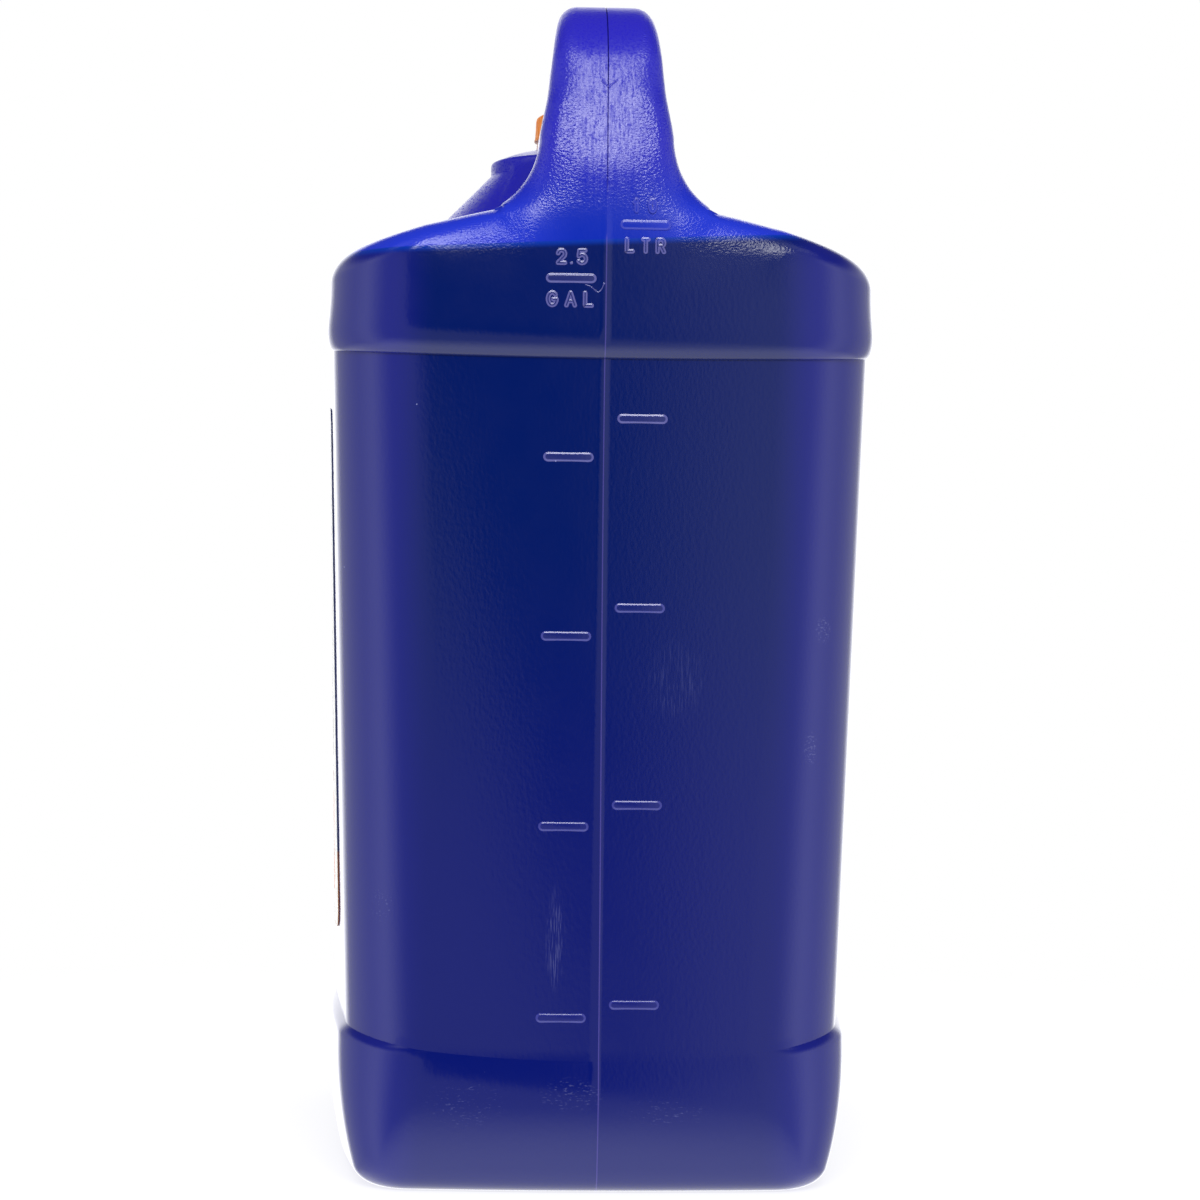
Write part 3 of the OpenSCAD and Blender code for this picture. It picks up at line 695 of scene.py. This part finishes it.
def tamper_ring():
    """The ring left on the neck, with the stubs of the bridges that joined it to the cap."""
    low, high, inner, outer = RING_Z, RING_Z + RING_H, CAP_IN_R - 0.1, CAP_IN_R + RING_T
    ring = turned("tamper_ring_dressed", [
        (inner, low + 0.2), (inner + 0.2, low), (outer - 0.3, low), (outer, low + 0.3),
        (outer + 0.15, low + 1.3), (outer + 0.05, high - 0.4), (outer - 0.25, high), (inner + 0.2, high),
        (inner, high - 0.2)])
    stubs = []
    for k in range(BRIDGES):
        bpy.ops.mesh.primitive_cylinder_add(vertices=12, radius=BRIDGE_R * MM, depth=BRIDGE_L * MM)
        stub = bpy.context.object
        t = math.tau * (k + 0.5) / BRIDGES
        place = Vector((BRIDGE_AT * math.cos(t), NECK_Y + BRIDGE_AT * math.sin(t), high + 0.1)) * MM
        for v in stub.data.vertices:
            v.co += place
        stubs.append(stub)
    join(ring, stubs)
    smooth(ring, 40)
    return ring


def foam_liner():
    r, low, high = CAP_IN_R - 0.4, RIM_Z + 0.2, CAP_IN_TOP - 0.01
    liner = turned("foam_liner", [
        (0, low), (BORE_R - 0.6, low), (BORE_R + 0.2, low + 0.12), (NECK_R - 0.2, low + 0.12),
        (NECK_R + 0.2, low), (r - 0.15, low), (r, low + 0.15),
        (r, high - 0.15), (r - 0.15, high), (0, high)])
    smooth(liner)
    return liner


def oil_fill():
    """The oil inside the wall, up to its level, a little smaller than the solid, so that no edge shows."""
    rings = [wall_ring(z, WALL + 1.2) for z in [8] + steps(8, BAND_Z - 4, 30)]
    rings += [wall_ring(z, WALL + 1.2) for z in steps(BAND_Z + 2, 276, 6)]
    rings += [wall_ring(z, WALL + inset) for z, inset in ((280, 3), (283, 6), (285.5, 10), (287, 15))]
    fill = loft("oil_fill", rings)
    smooth(fill)
    return fill


def wide_wall(y, z):
    """Distance of a wide wall from the seam plane at depth y and height z."""
    share = max(0.0, 1 - (y / half_d(z)) ** 2)
    level = z - crease_rise(z) * share
    return half_w(level) + wide_bow(level) * share


def side_label(name, side):
    """A paper label with round corners, laid on a wide wall: a square sheet whose corners are drawn in."""
    bpy.ops.mesh.primitive_grid_add(x_subdivisions=52, y_subdivisions=64, size=2)
    obj = bpy.context.object
    obj.name = name
    for v in obj.data.vertices:
        y, z = v.co.x * LABEL_W / 2, v.co.y * LABEL_H / 2
        past = Vector((abs(y) - LABEL_W / 2 + LABEL_R, abs(z) - LABEL_H / 2 + LABEL_R))
        if past.x > 0 and past.y > 0:
            past *= 1 - max(past) / past.length
            y -= math.copysign(past.x, y)
            z -= math.copysign(past.y, z)
        z += LABEL_Z + LABEL_H / 2
        v.co = Vector((side * (wide_wall(y, z) + LABEL_GAP), y, z)) * MM
    face_outward(obj)
    outward = sum(p.normal.x * p.area for p in obj.data.polygons) * side
    apply(obj, "SOLIDIFY", thickness=LABEL_T * MM, offset=1.0 if outward > 0 else -1.0)
    smooth(obj)
    return obj


# Camera and studio

def camera():
    data = bpy.data.cameras.new("camera")
    data.sensor_width = SENSOR
    data.lens = SENSOR * FOCAL_PX / FRAME_PX
    obj = bpy.data.objects.new("camera", data)
    bpy.context.collection.objects.link(obj)
    az, turn, roll = (math.radians(t) for t in (CAMERA_AZ, CAMERA_AZ + CAMERA_YAW, CAMERA_ROLL))
    place = Vector((-CAMERA_DIST * math.sin(az), -CAMERA_DIST * math.cos(az), CAMERA_Z)) * MM
    forward = Vector((math.sin(turn), math.cos(turn), 0))
    level = Vector((math.cos(turn), -math.sin(turn), 0))
    right = level * math.cos(roll) + Vector((0, 0, 1)) * math.sin(roll)
    up = Vector((0, 0, 1)) * math.cos(roll) - level * math.sin(roll)
    obj.matrix_world = Matrix.Translation(place) @ Matrix((right, up, -forward)).transposed().to_4x4()
    bpy.context.scene.camera = obj


def lamp(name, place, aim, size, power):
    data = bpy.data.lights.new(name, "AREA")
    data.shape = "RECTANGLE"
    data.size, data.size_y = size
    data.energy = power
    obj = bpy.data.objects.new(name, data)
    bpy.context.collection.objects.link(obj)
    obj.location = place
    obj.rotation_euler = (Vector(aim) - Vector(place)).to_track_quat("-Z", "Y").to_euler()
    obj.visible_camera = False


def node(tree, kind, inputs, **settings):
    """Adds a node. Each input is a value, a socket to link, or a node whose first output is linked."""
    made = tree.nodes.new("ShaderNode" + kind)
    for name, value in settings.items():
        setattr(made, name, value)
    for name, value in inputs.items():
        if isinstance(value, bpy.types.Node):
            value = value.outputs[0]
        if isinstance(value, bpy.types.NodeSocket):
            tree.links.new(value, made.inputs[name])
        else:
            made.inputs[name].default_value = value
    return made


def colour(code):
    """Linear colour of an sRGB hex value."""
    shares = [int(code[k:k + 2], 16) / 255 for k in (1, 3, 5)]
    linear = [s / 12.92 if s <= 0.04045 else ((s + 0.055) / 1.055) ** 2.4 for s in shares]
    return (*linear, 1.0)


def studio_world():
    """White ground to the camera. Gloss sees white walls at both sides and overhead, and a dark front."""
    world = bpy.data.worlds.new("studio")
    bpy.context.scene.world = world
    world.use_nodes = True
    tree = world.node_tree
    tree.nodes.clear()
    path = node(tree, "LightPath", {})
    where = node(tree, "SeparateXYZ", {0: node(tree, "TexCoord", {}).outputs["Generated"]})
    x, y, z = where.outputs["X"], where.outputs["Y"], where.outputs["Z"]
    slant = node(tree, "Math", {0: z, 1: HAZE_SLANT, 2: x}, operation="MULTIPLY_ADD")
    band = {}
    for name, way, low, high, start, end in (
            ("walls", y, -0.78, -0.3, 0, 1.15), ("dip", y, -0.35, 0.1, 0, -0.35),
            ("high", z, 0.3, 0.6, 0, 0.9), ("ahead", y, 0.9, 0.65, 0, 1),
            ("ceiling", z, 0.6, 0.7, 0, 0.7), ("zenith", z, 0.8, 0.98, 1, 0.1),
            ("overhead", y, -0.2, -0.45, 0, 1), ("behind", y, 0.72, 0.96, 0, 1.3),
            ("right", x, 0.0, 0.24, 0, 0.55), ("left", slant, -0.08, -0.18, 0, 0.35),
            ("front", y, -0.78, -0.3, 1, 0), ("below", z, -0.12, -0.72, 0, 1.5)):
        band[name] = node(tree, "MapRange", {0: way, 1: low, 2: high, 3: start, 4: end}, **SOFT)
    sides = node(tree, "Math", {0: band["walls"], 1: band["dip"]})
    dim = node(tree, "Math", {0: band["high"], 1: band["ahead"]}, operation="MULTIPLY")
    kept = node(tree, "Math", {0: 1.0, 1: dim}, operation="SUBTRACT")
    ceiling = node(tree, "Math", {0: band["ceiling"], 1: band["zenith"]}, operation="MULTIPLY")
    haze = node(tree, "Math", {0: band["right"], 1: band["left"]})
    seen = node(tree, "Math", {0: ceiling, 1: band["overhead"], 2: band["behind"]}, operation="MULTIPLY_ADD")
    seen = node(tree, "Math", {0: haze, 1: band["front"], 2: seen}, operation="MULTIPLY_ADD")
    seen = node(tree, "Math", {0: sides, 1: kept, 2: seen}, operation="MULTIPLY_ADD")
    seen = node(tree, "Math", {0: seen, 1: band["below"]}, operation="MAXIMUM")
    level = node(tree, "Mix", {0: path.outputs["Is Glossy Ray"], 2: FILL, 3: seen})
    ground = node(tree, "Math", {0: path.outputs["Is Camera Ray"], 1: path.outputs["Is Transmission Ray"]},
                  operation="MAXIMUM")
    strength = node(tree, "Mix", {0: ground, 2: level, 3: 1.0})
    back = node(tree, "Background", {"Color": (1, 1, 1, 1), "Strength": strength})
    node(tree, "OutputWorld", {"Surface": back})


def material(name, shade):
    made = bpy.data.materials.new(name)
    made.use_nodes = True
    tree = made.node_tree
    tree.nodes.clear()
    node(tree, "OutputMaterial", {"Surface": shade(tree)})
    return made


def paint(obj, made):
    obj.data.materials.clear()
    obj.data.materials.append(made)


def in_mm(tree):
    """Object coordinates in millimetres."""
    coords = node(tree, "TexCoord", {}).outputs["Object"]
    return node(tree, "VectorMath", {0: coords, 3: 1000}, operation="SCALE")


def floor():
    """A pale round table top: white under the lamps, greyer in the jug's shadow."""
    place = (0, 0, FLOOR_Z)
    bpy.ops.mesh.primitive_circle_add(vertices=96, radius=FLOOR_R, fill_type="NGON", location=place)
    obj = bpy.context.object
    obj.name = "floor"

    def shade(tree):
        matt = node(tree, "BsdfDiffuse", {"Color": colour("#a9a9a9")})
        glow = node(tree, "Emission", {"Color": (1, 1, 1, 1), "Strength": FLOOR_GLOW})
        lit = node(tree, "AddShader", {0: matt, 1: glow})
        plain = node(tree, "Emission", {"Color": (1, 1, 1, 1), "Strength": 1.0})
        spot = node(tree, "VectorMath", {0: in_mm(tree)}, operation="LENGTH").outputs["Value"]
        edge = node(tree, "MapRange", {0: spot, 1: 300, 2: 520}, **SOFT)
        return node(tree, "MixShader", {0: edge, 1: lit, 2: plain})

    paint(obj, material("white_table_top", shade))
    obj.visible_glossy = False


def patch(tree, spot, centre, reach):
    """A soft round field of the near wall, 1 in the middle, from its centre and reach in X and Z."""
    away = node(tree, "VectorMath", {0: spot, 1: (centre[0], 0, centre[1])}, operation="SUBTRACT")
    scaled = node(tree, "VectorMath", {0: away, 1: (1 / reach[0], 0, 1 / reach[1])}, operation="MULTIPLY")
    far = node(tree, "VectorMath", {0: scaled}, operation="LENGTH").outputs["Value"]
    return node(tree, "MapRange", {0: far, 1: 0.5, 2: 1.0, 3: 1, 4: 0}, **SOFT)


def blue_hdpe(tree, mark_highlight=0.0):
    """Extrusion blow-moulded polyethylene, translucent blue: navy where oil is behind, bright where empty,
    that brightness partly its own colour and partly painted light coming through the empty wall.

    The mould's blasted face leaves a fine orange peel, and the melt's flow leaves streaks down the handle.
    """
    mm = in_mm(tree)
    axes = node(tree, "SeparateXYZ", {0: mm})
    x, y, z = axes.outputs["X"], axes.outputs["Y"], axes.outputs["Z"]
    line = node(tree, "Math", {0: x, 1: -OIL_TILT, 2: z}, operation="MULTIPLY_ADD")
    out = node(tree, "Math", {0: x}, operation="ABSOLUTE")
    drift = node(tree, "MapRange", {0: z, 1: 0, 2: BAND_Z, 3: -SEAM_DRIFT, 4: 0}, **SOFT)
    seam = node(tree, "Math", {0: x, 1: drift})
    seam = node(tree, "Math", {0: seam}, operation="ABSOLUTE")
    cells = node(tree, "TexVoronoi", {"Vector": mm, "Scale": 1 / 11})
    speck, red = cells.outputs["Distance"], node(tree, "SeparateColor", {0: cells.outputs["Color"]})

    # Noises: size of the grains in millimetres, detail, and how much longer they are along X, Y and Z
    noise = {}
    for name, size, detail, stretch in (
            ("rub", 0.5, 3, (3.2, 1, 1)), ("strokes", 0.28, 2, (1, 1, 26)), ("peel", 0.6, 1, (1.3, 1, 1)),
            ("flow", 0.7, 1, (1, 1, 18)), ("fine", 1, 2, (1, 1, 1.8)), ("cloud", 9, 2, (1, 1, 1))):
        drawn = node(tree, "VectorMath", {0: mm, 1: stretch}, operation="DIVIDE")
        noise[name] = node(tree, "TexNoise", {"Vector": drawn, "Scale": 1 / size, "Detail": detail})

    # Soft steps: what they follow, where they start and end, and their values there
    step = {}
    for name, value, low, high, start, end in (
            ("root", out, 6, 34, 0, 1), ("leg", line, OIL_LINE + 4, OIL_LINE + 30, 0, 1),
            ("crest", z, 330, 362, 0, 1), ("waist", z, 215, 90, 0, 1), ("foot", z, 50, 12, 0, 1),
            ("corner", out, 50, 66, 0, 1), ("glow", line, OIL_LINE - 2.2, OIL_LINE, 0, 1),
            ("empty", line, OIL_LINE - 0.3, OIL_LINE + 0.3, 0, 1), ("seam", seam, 0.08, 0.25, 0.36, 0),
            ("filled", z, OIL_LINE, OIL_LINE + 2, 1, 0.1), ("crease", out, 0.15, 0.32, 0.75, 0),
            ("highlit", line, OIL_LINE - 0.5, OIL_LINE + 0.5, mark_highlight, 0.35 * mark_highlight),
            ("above", z, 299, 308, 0, 1), ("held", z, 120, 260, 0.6, 1),
            ("tone", z, 150, 250, 0, 1), ("rare", red, 0.62, 0.64, 0, 1),
            ("speck", speck, 0.012, 0.026, 0.75, 0), ("near", y, -80, -100, 0, 1),
            ("handle", z, 292, 306, 0, 1), ("side", out, 18, 27, 0, 1), ("shoulder", z, 280, 294, 0, 0.7),
            ("fore", y, -30, -60, 0, 1), ("centre", out, 7, 12, 1, 0), ("blast", z, 288, 302, 0, 0.08),
            ("bend", z, 322, 342, 0, 0.1), ("rough", noise["cloud"], 0.2, 0.8, 0.12, 0.14),
            ("streaks", noise["flow"], 0.45, 0.65, 0, -0.2), ("dimples", noise["peel"], 0.5, 0.65, 0, -0.2)):
        step[name] = node(tree, "MapRange", {0: value, 1: low, 2: high, 3: start, 4: end}, **SOFT)
    # The crease share paints shade: a dark line down the seam over the handle, above the oil
    both = {}
    for name, one, other in (
            ("seam", "seam", "filled"), ("crease", "crease", "above"), ("pale", "highlit", "held"),
            ("dust", "speck", "rare"), ("edge", "side", "shoulder"), ("middle", "handle", "centre")):
        both[name] = node(tree, "Math", {0: step[one], 1: step[other]}, operation="MULTIPLY")
    marks = both["dust"]
    for centre, reach, kind, low, share in SCUFFS:
        field = patch(tree, mm, centre, reach)
        field = node(tree, "Math", {0: field, 1: step["near"]}, operation="MULTIPLY")
        seen = node(tree, "MapRange", {0: noise[kind], 1: low, 2: low + 0.2, 3: 0, 4: share}, **SOFT)
        marks = node(tree, "Math", {0: field, 1: seen, 2: marks}, operation="MULTIPLY_ADD")

    # Colour: the empty wall over the filled one, then a painted highlight along the seam's ridge, painted
    # shade as a dark line down the seam over the handle, painted highlights on the raised marks, and dust
    # and scuffs
    # Painted light: the empty wall's bright blue stands partly for light coming through it, and is painted
    # lighter beside the handle and up the leg, and lighter still at the crest, where light from above falls
    upper, lower = colour("#082ab4"), colour("#001862")
    for name, code in (("root", "#2238d0"), ("leg", "#2524ba"), ("crest", "#2922c4")):
        upper = node(tree, "Mix", {0: step[name], 6: upper, 7: colour(code)}, **RGBA).outputs[2]
    # Painted light on the filled wall: lighter at the foot as a painted reflection of the floor, at the
    # corners as a painted sheen, and in a painted glow just under the oil line
    for name, code in (
            ("waist", "#04136c"), ("foot", "#0a1870"), ("corner", "#141c80"), ("glow", "#0034a8")):
        lower = node(tree, "Mix", {0: step[name], 6: lower, 7: colour(code)}, **RGBA).outputs[2]
    # Painted highlight on the raised marks: stronger below the oil line and higher up the wall, and paler in
    # tone higher up
    tones = {0: step["tone"], 6: colour("#6a6cd8"), 7: colour("#8886d4")}
    tone = node(tree, "Mix", tones, **RGBA).outputs[2]
    base = lower
    for share, over in (
            (step["empty"], upper), (both["seam"], colour("#6c60c4")), (both["crease"], colour("#14108a")),
            (both["pale"], tone), (marks, colour("#9aa0d8"))):
        base = node(tree, "Mix", {0: share, 6: base, 7: over}, **RGBA).outputs[2]

    # Relief: orange peel on the handle and the corners under it, upright streaks down the handle's middle
    skin = node(tree, "Math", {0: step["handle"], 1: both["edge"]}, operation="MAXIMUM")
    skin = node(tree, "Math", {0: skin, 1: step["fore"]}, operation="MULTIPLY")
    calm = node(tree, "Math", {0: both["middle"], 1: -0.7, 2: 1.0}, operation="MULTIPLY_ADD")
    coarse = node(tree, "Math", {0: noise["peel"], 1: skin}, operation="MULTIPLY")
    coarse = node(tree, "Math", {0: coarse, 1: calm}, operation="MULTIPLY")
    flow = node(tree, "Math", {0: noise["flow"], 1: both["middle"]}, operation="MULTIPLY")
    fine = node(tree, "Bump", {"Strength": 1.0, "Distance": 0.000025, "Height": noise["fine"]})
    grain = node(tree, "Bump", {"Strength": 1.0, "Distance": 0.0002, "Height": coarse, "Normal": fine})
    streak = node(tree, "Bump", {"Strength": 1.0, "Distance": 0.00007, "Height": flow, "Normal": grain})

    rough = node(tree, "Math", {0: marks, 1: 0.25, 2: step["rough"]}, operation="MULTIPLY_ADD")
    rough = node(tree, "Math", {0: both["edge"], 1: 0.08, 2: rough}, operation="MULTIPLY_ADD")
    for name in ("blast", "bend"):
        rough = node(tree, "Math", {0: rough, 1: step[name]})
    gloss = node(tree, "Math", {0: both["edge"], 1: -0.5, 2: 0.5}, operation="MULTIPLY_ADD")
    gloss = node(tree, "Math", {0: step["streaks"], 1: both["middle"], 2: gloss}, operation="MULTIPLY_ADD")
    gloss = node(tree, "Math", {0: step["dimples"], 1: step["handle"], 2: gloss}, operation="MULTIPLY_ADD")
    return node(tree, "BsdfPrincipled", {
        "Base Color": base, "Roughness": rough, "IOR": 1.54, "Specular IOR Level": gloss, "Normal": streak})


def mark_highlight_blue_hdpe(tree):
    """The same polyethylene on the thin flanks of raised marks, with a pale tint painted in as the highlight
    where their slopes catch the light.
    """
    return blue_hdpe(tree, 0.42)


def raised_blue_hdpe(tree):
    """The same polyethylene on the flat tops of raised marks, a little paler than the wall: a faint painted
    highlight.
    """
    return blue_hdpe(tree, 0.08)


def orange_pp(tree):
    """Injection-moulded polypropylene: even orange, a low gloss, a faint drag along the draw of the ribs."""
    mm = in_mm(tree)
    cloud = node(tree, "TexNoise", {"Vector": mm, "Scale": 1 / 5, "Detail": 2})
    cloud = node(tree, "MapRange", {0: cloud, 1: 0.3, 2: 0.7}, **SOFT)
    base = node(tree, "Mix", {0: cloud, 6: colour("#f28a2c"), 7: colour("#ff9c3e")}, **RGBA).outputs[2]
    drawn = node(tree, "VectorMath", {0: mm, 1: (1, 1, 8)}, operation="DIVIDE")
    drag = node(tree, "TexNoise", {"Vector": drawn, "Scale": 1 / 0.35, "Detail": 2})
    drag = node(tree, "Bump", {"Strength": 0.6, "Distance": 0.00003, "Height": drag})
    rough = node(tree, "TexNoise", {"Vector": mm, "Scale": 1 / 3, "Detail": 2})
    rough = node(tree, "MapRange", {0: rough, 1: 0.3, 2: 0.7, 3: 0.36, 4: 0.46}, **SOFT)
    return node(tree, "BsdfPrincipled", {
        "Base Color": base, "Roughness": rough, "IOR": 1.49, "Normal": drag})


def thin_orange_pp(tree):
    """The same polypropylene as a thin ring: the white ground comes through it, so that it looks pale."""
    mm = in_mm(tree)
    height = node(tree, "SeparateXYZ", {0: mm}).outputs["Z"]
    height = node(tree, "MapRange", {0: height, 1: RING_Z, 2: RING_Z + RING_H}, **SOFT)
    base = node(tree, "Mix", {0: height, 6: colour("#ecc9c0"), 7: colour("#e9b7a0")}, **RGBA).outputs[2]
    cloud = node(tree, "TexNoise", {"Vector": mm, "Scale": 1 / 1.5, "Detail": 2})
    cloud = node(tree, "MapRange", {0: cloud, 1: 0.45, 2: 0.7, 3: 0, 4: 0.5}, **SOFT)
    base = node(tree, "Mix", {0: cloud, 6: base, 7: colour("#d99a80")}, **RGBA).outputs[2]
    grain = node(tree, "TexNoise", {"Vector": mm, "Scale": 1 / 0.5, "Detail": 2})
    grain = node(tree, "Bump", {"Strength": 0.5, "Distance": 0.00003, "Height": grain})
    return node(tree, "BsdfPrincipled", {
        "Base Color": base, "Roughness": 0.4, "IOR": 1.49, "Normal": grain})


def liner_foam(tree):
    """Pressed polyethylene foam: off-white, matt, pitted by its closed cells."""
    cells = node(tree, "TexVoronoi", {"Vector": in_mm(tree), "Scale": 1 / 0.4}).outputs["Distance"]
    share = node(tree, "MapRange", {0: cells, 1: 0.1, 2: 0.7}, **SOFT)
    base = node(tree, "Mix", {0: share, 6: colour("#e4e1d6"), 7: colour("#f3f1ea")}, **RGBA).outputs[2]
    pits = node(tree, "Bump", {"Strength": 0.7, "Distance": 0.00006, "Height": cells})
    return node(tree, "BsdfPrincipled", {"Base Color": base, "Roughness": 0.75, "Normal": pits})


def motor_oil(tree):
    """Engine oil in bulk: so deep an amber that it looks brown, with a mirror-smooth face."""
    mm = in_mm(tree)
    cloud = node(tree, "TexNoise", {"Vector": mm, "Scale": 1 / 60, "Detail": 1})
    cloud = node(tree, "MapRange", {0: cloud, 1: 0.3, 2: 0.7}, **SOFT)
    base = node(tree, "Mix", {0: cloud, 6: colour("#4a2a08"), 7: colour("#6b3f12")}, **RGBA).outputs[2]
    swell = node(tree, "TexNoise", {"Vector": mm, "Scale": 1 / 25, "Detail": 1})
    swell = node(tree, "Bump", {"Strength": 0.3, "Distance": 0.0002, "Height": swell})
    return node(tree, "BsdfPrincipled", {
        "Base Color": base, "Roughness": 0.06, "IOR": 1.48, "Normal": swell})


def panel(tree, spot, centre, half, radius):
    """A field with round corners on a label, from its middle and half sizes in Y and Z."""
    away = node(tree, "VectorMath", {0: spot, 1: (0, centre[0], centre[1])}, operation="SUBTRACT")
    away = node(tree, "VectorMath", {0: away, 1: (0, 1, 1)}, operation="MULTIPLY")
    away = node(tree, "VectorMath", {0: away}, operation="ABSOLUTE")
    corner = (0, half[0] - radius, half[1] - radius)
    away = node(tree, "VectorMath", {0: away, 1: corner}, operation="SUBTRACT")
    away = node(tree, "VectorMath", {0: away, 1: (0, 0, 0)}, operation="MAXIMUM")
    far = node(tree, "VectorMath", {0: away}, operation="LENGTH").outputs["Value"]
    return node(tree, "MapRange", {0: far, 1: radius - 0.12, 2: radius + 0.12, 3: 1, 4: 0}, **SOFT)


def label_stock(tree):
    """Coated paper, offset printed in flat fields on white. Its cut edge is dark, and brown at the foot."""
    mm = in_mm(tree)
    height = node(tree, "SeparateXYZ", {0: mm}).outputs["Z"]
    foot_top = LABEL_Z + FOOT_BAND
    height = node(tree, "MapRange", {0: height, 1: foot_top, 2: foot_top + 0.5}, **SOFT)
    ink = node(tree, "Mix", {0: height, 6: colour("#a5673f"), 7: colour("#4c557f")}, **RGBA).outputs[2]
    for (across, up), half, radius, code in PRINT:
        field = panel(tree, mm, (across, LABEL_Z + up), half, radius)
        ink = node(tree, "Mix", {0: field, 6: ink, 7: colour(code)}, **RGBA).outputs[2]
    wear = node(tree, "TexNoise", {"Vector": mm, "Scale": 1 / 7, "Detail": 4})
    wear = node(tree, "MapRange", {0: wear, 1: 0.62, 2: 0.75, 3: 0, 4: 0.12}, **SOFT)
    base = node(tree, "Mix", {0: wear, 6: ink, 7: colour("#e2e1dc")}, **RGBA).outputs[2]
    fibre = node(tree, "TexNoise", {"Vector": mm, "Scale": 1 / 0.5, "Detail": 3})
    fibre = node(tree, "Bump", {"Strength": 0.4, "Distance": 0.00003, "Height": fibre})
    rough = node(tree, "TexNoise", {"Vector": mm, "Scale": 1 / 4, "Detail": 2})
    rough = node(tree, "MapRange", {0: rough, 1: 0.3, 2: 0.7, 3: 0.34, 4: 0.44}, **SOFT)
    return node(tree, "BsdfPrincipled", {
        "Base Color": base, "Roughness": rough, "IOR": 1.5, "Normal": fibre})


# Making the scene

camera()
studio_world()
floor()
lamp("key", KEY_PLACE, KEY_AIM, KEY_SIZE, KEY_POWER)
lamp("scrim", SCRIM_PLACE, KEY_AIM, SCRIM_SIZE, SCRIM_POWER)

shell = main_shell()
parts = [bar(GALLON_X, mix(MARKS_LOW, MARKS_HIGH, s) - GALLON_DROP) for s in GALLON_MARKS]
parts += [bar(LITRE_X, mix(MARKS_LOW, MARKS_HIGH, s) - LITRE_DROP) for s in LITRE_MARKS]
for x, z in TICKS:
    parts += ticks(x, z)
for mark, x, z, width, height in LETTERS:
    parts += letter(mark, x, z, width, height)
parts += [
    stroke("pinch_mark", PINCH, 0.6, 0.16, 0.28, PINCH_X, PINCH_Z),
    stroke("point", POINT, 0.9, 0.06, 0.4, GALLON_X, POINT_Z),
    stroke("curl_scratch", CURL, 0.24, 0.02, 0.1, 0, 0),
    stroke("curl_end", CURL_END, 0.55, 0.04, 0.25, 0, 0),
    helix("neck_thread", NECK_R - 0.1, CREST_R, RING_Z + RING_H + 0.9, 1.35, 1.7, 0.7),
]
blue = material("blow_moulded_blue_hdpe", blue_hdpe)
mark_highlight = material("mark_highlight_blue_hdpe", mark_highlight_blue_hdpe)
raised = material("raised_blue_hdpe", raised_blue_hdpe)
for obj in [shell] + parts:
    for made in (blue, mark_highlight, raised):
        obj.data.materials.append(made)
join(shell, parts)
smooth(shell)
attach(shell, "jug")
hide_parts("bottle")

cap = screw_cap()
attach(cap, "cap")
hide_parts("cap")
paint(cap, material("moulded_orange_pp", orange_pp))

ring = tamper_ring()
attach(ring, "jug")
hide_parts("tamper_ring")
paint(ring, material("thin_orange_pp", thin_orange_pp))

liner = foam_liner()
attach(liner, "liner")
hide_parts("cap_liner")
paint(liner, material("pressed_liner_foam", liner_foam))

printed = material("printed_label_paper", label_stock)
for name, side in (("left", -1), ("right", 1)):
    label = side_label("label_" + name + "_dressed", side)
    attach(label, "jug")
    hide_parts("label_" + name)
    paint(label, printed)

oil = oil_fill()
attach(oil, "jug")
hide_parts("oil")
paint(oil, material("bulk_motor_oil", motor_oil))

bpy.context.scene.view_settings.view_transform = "Standard"
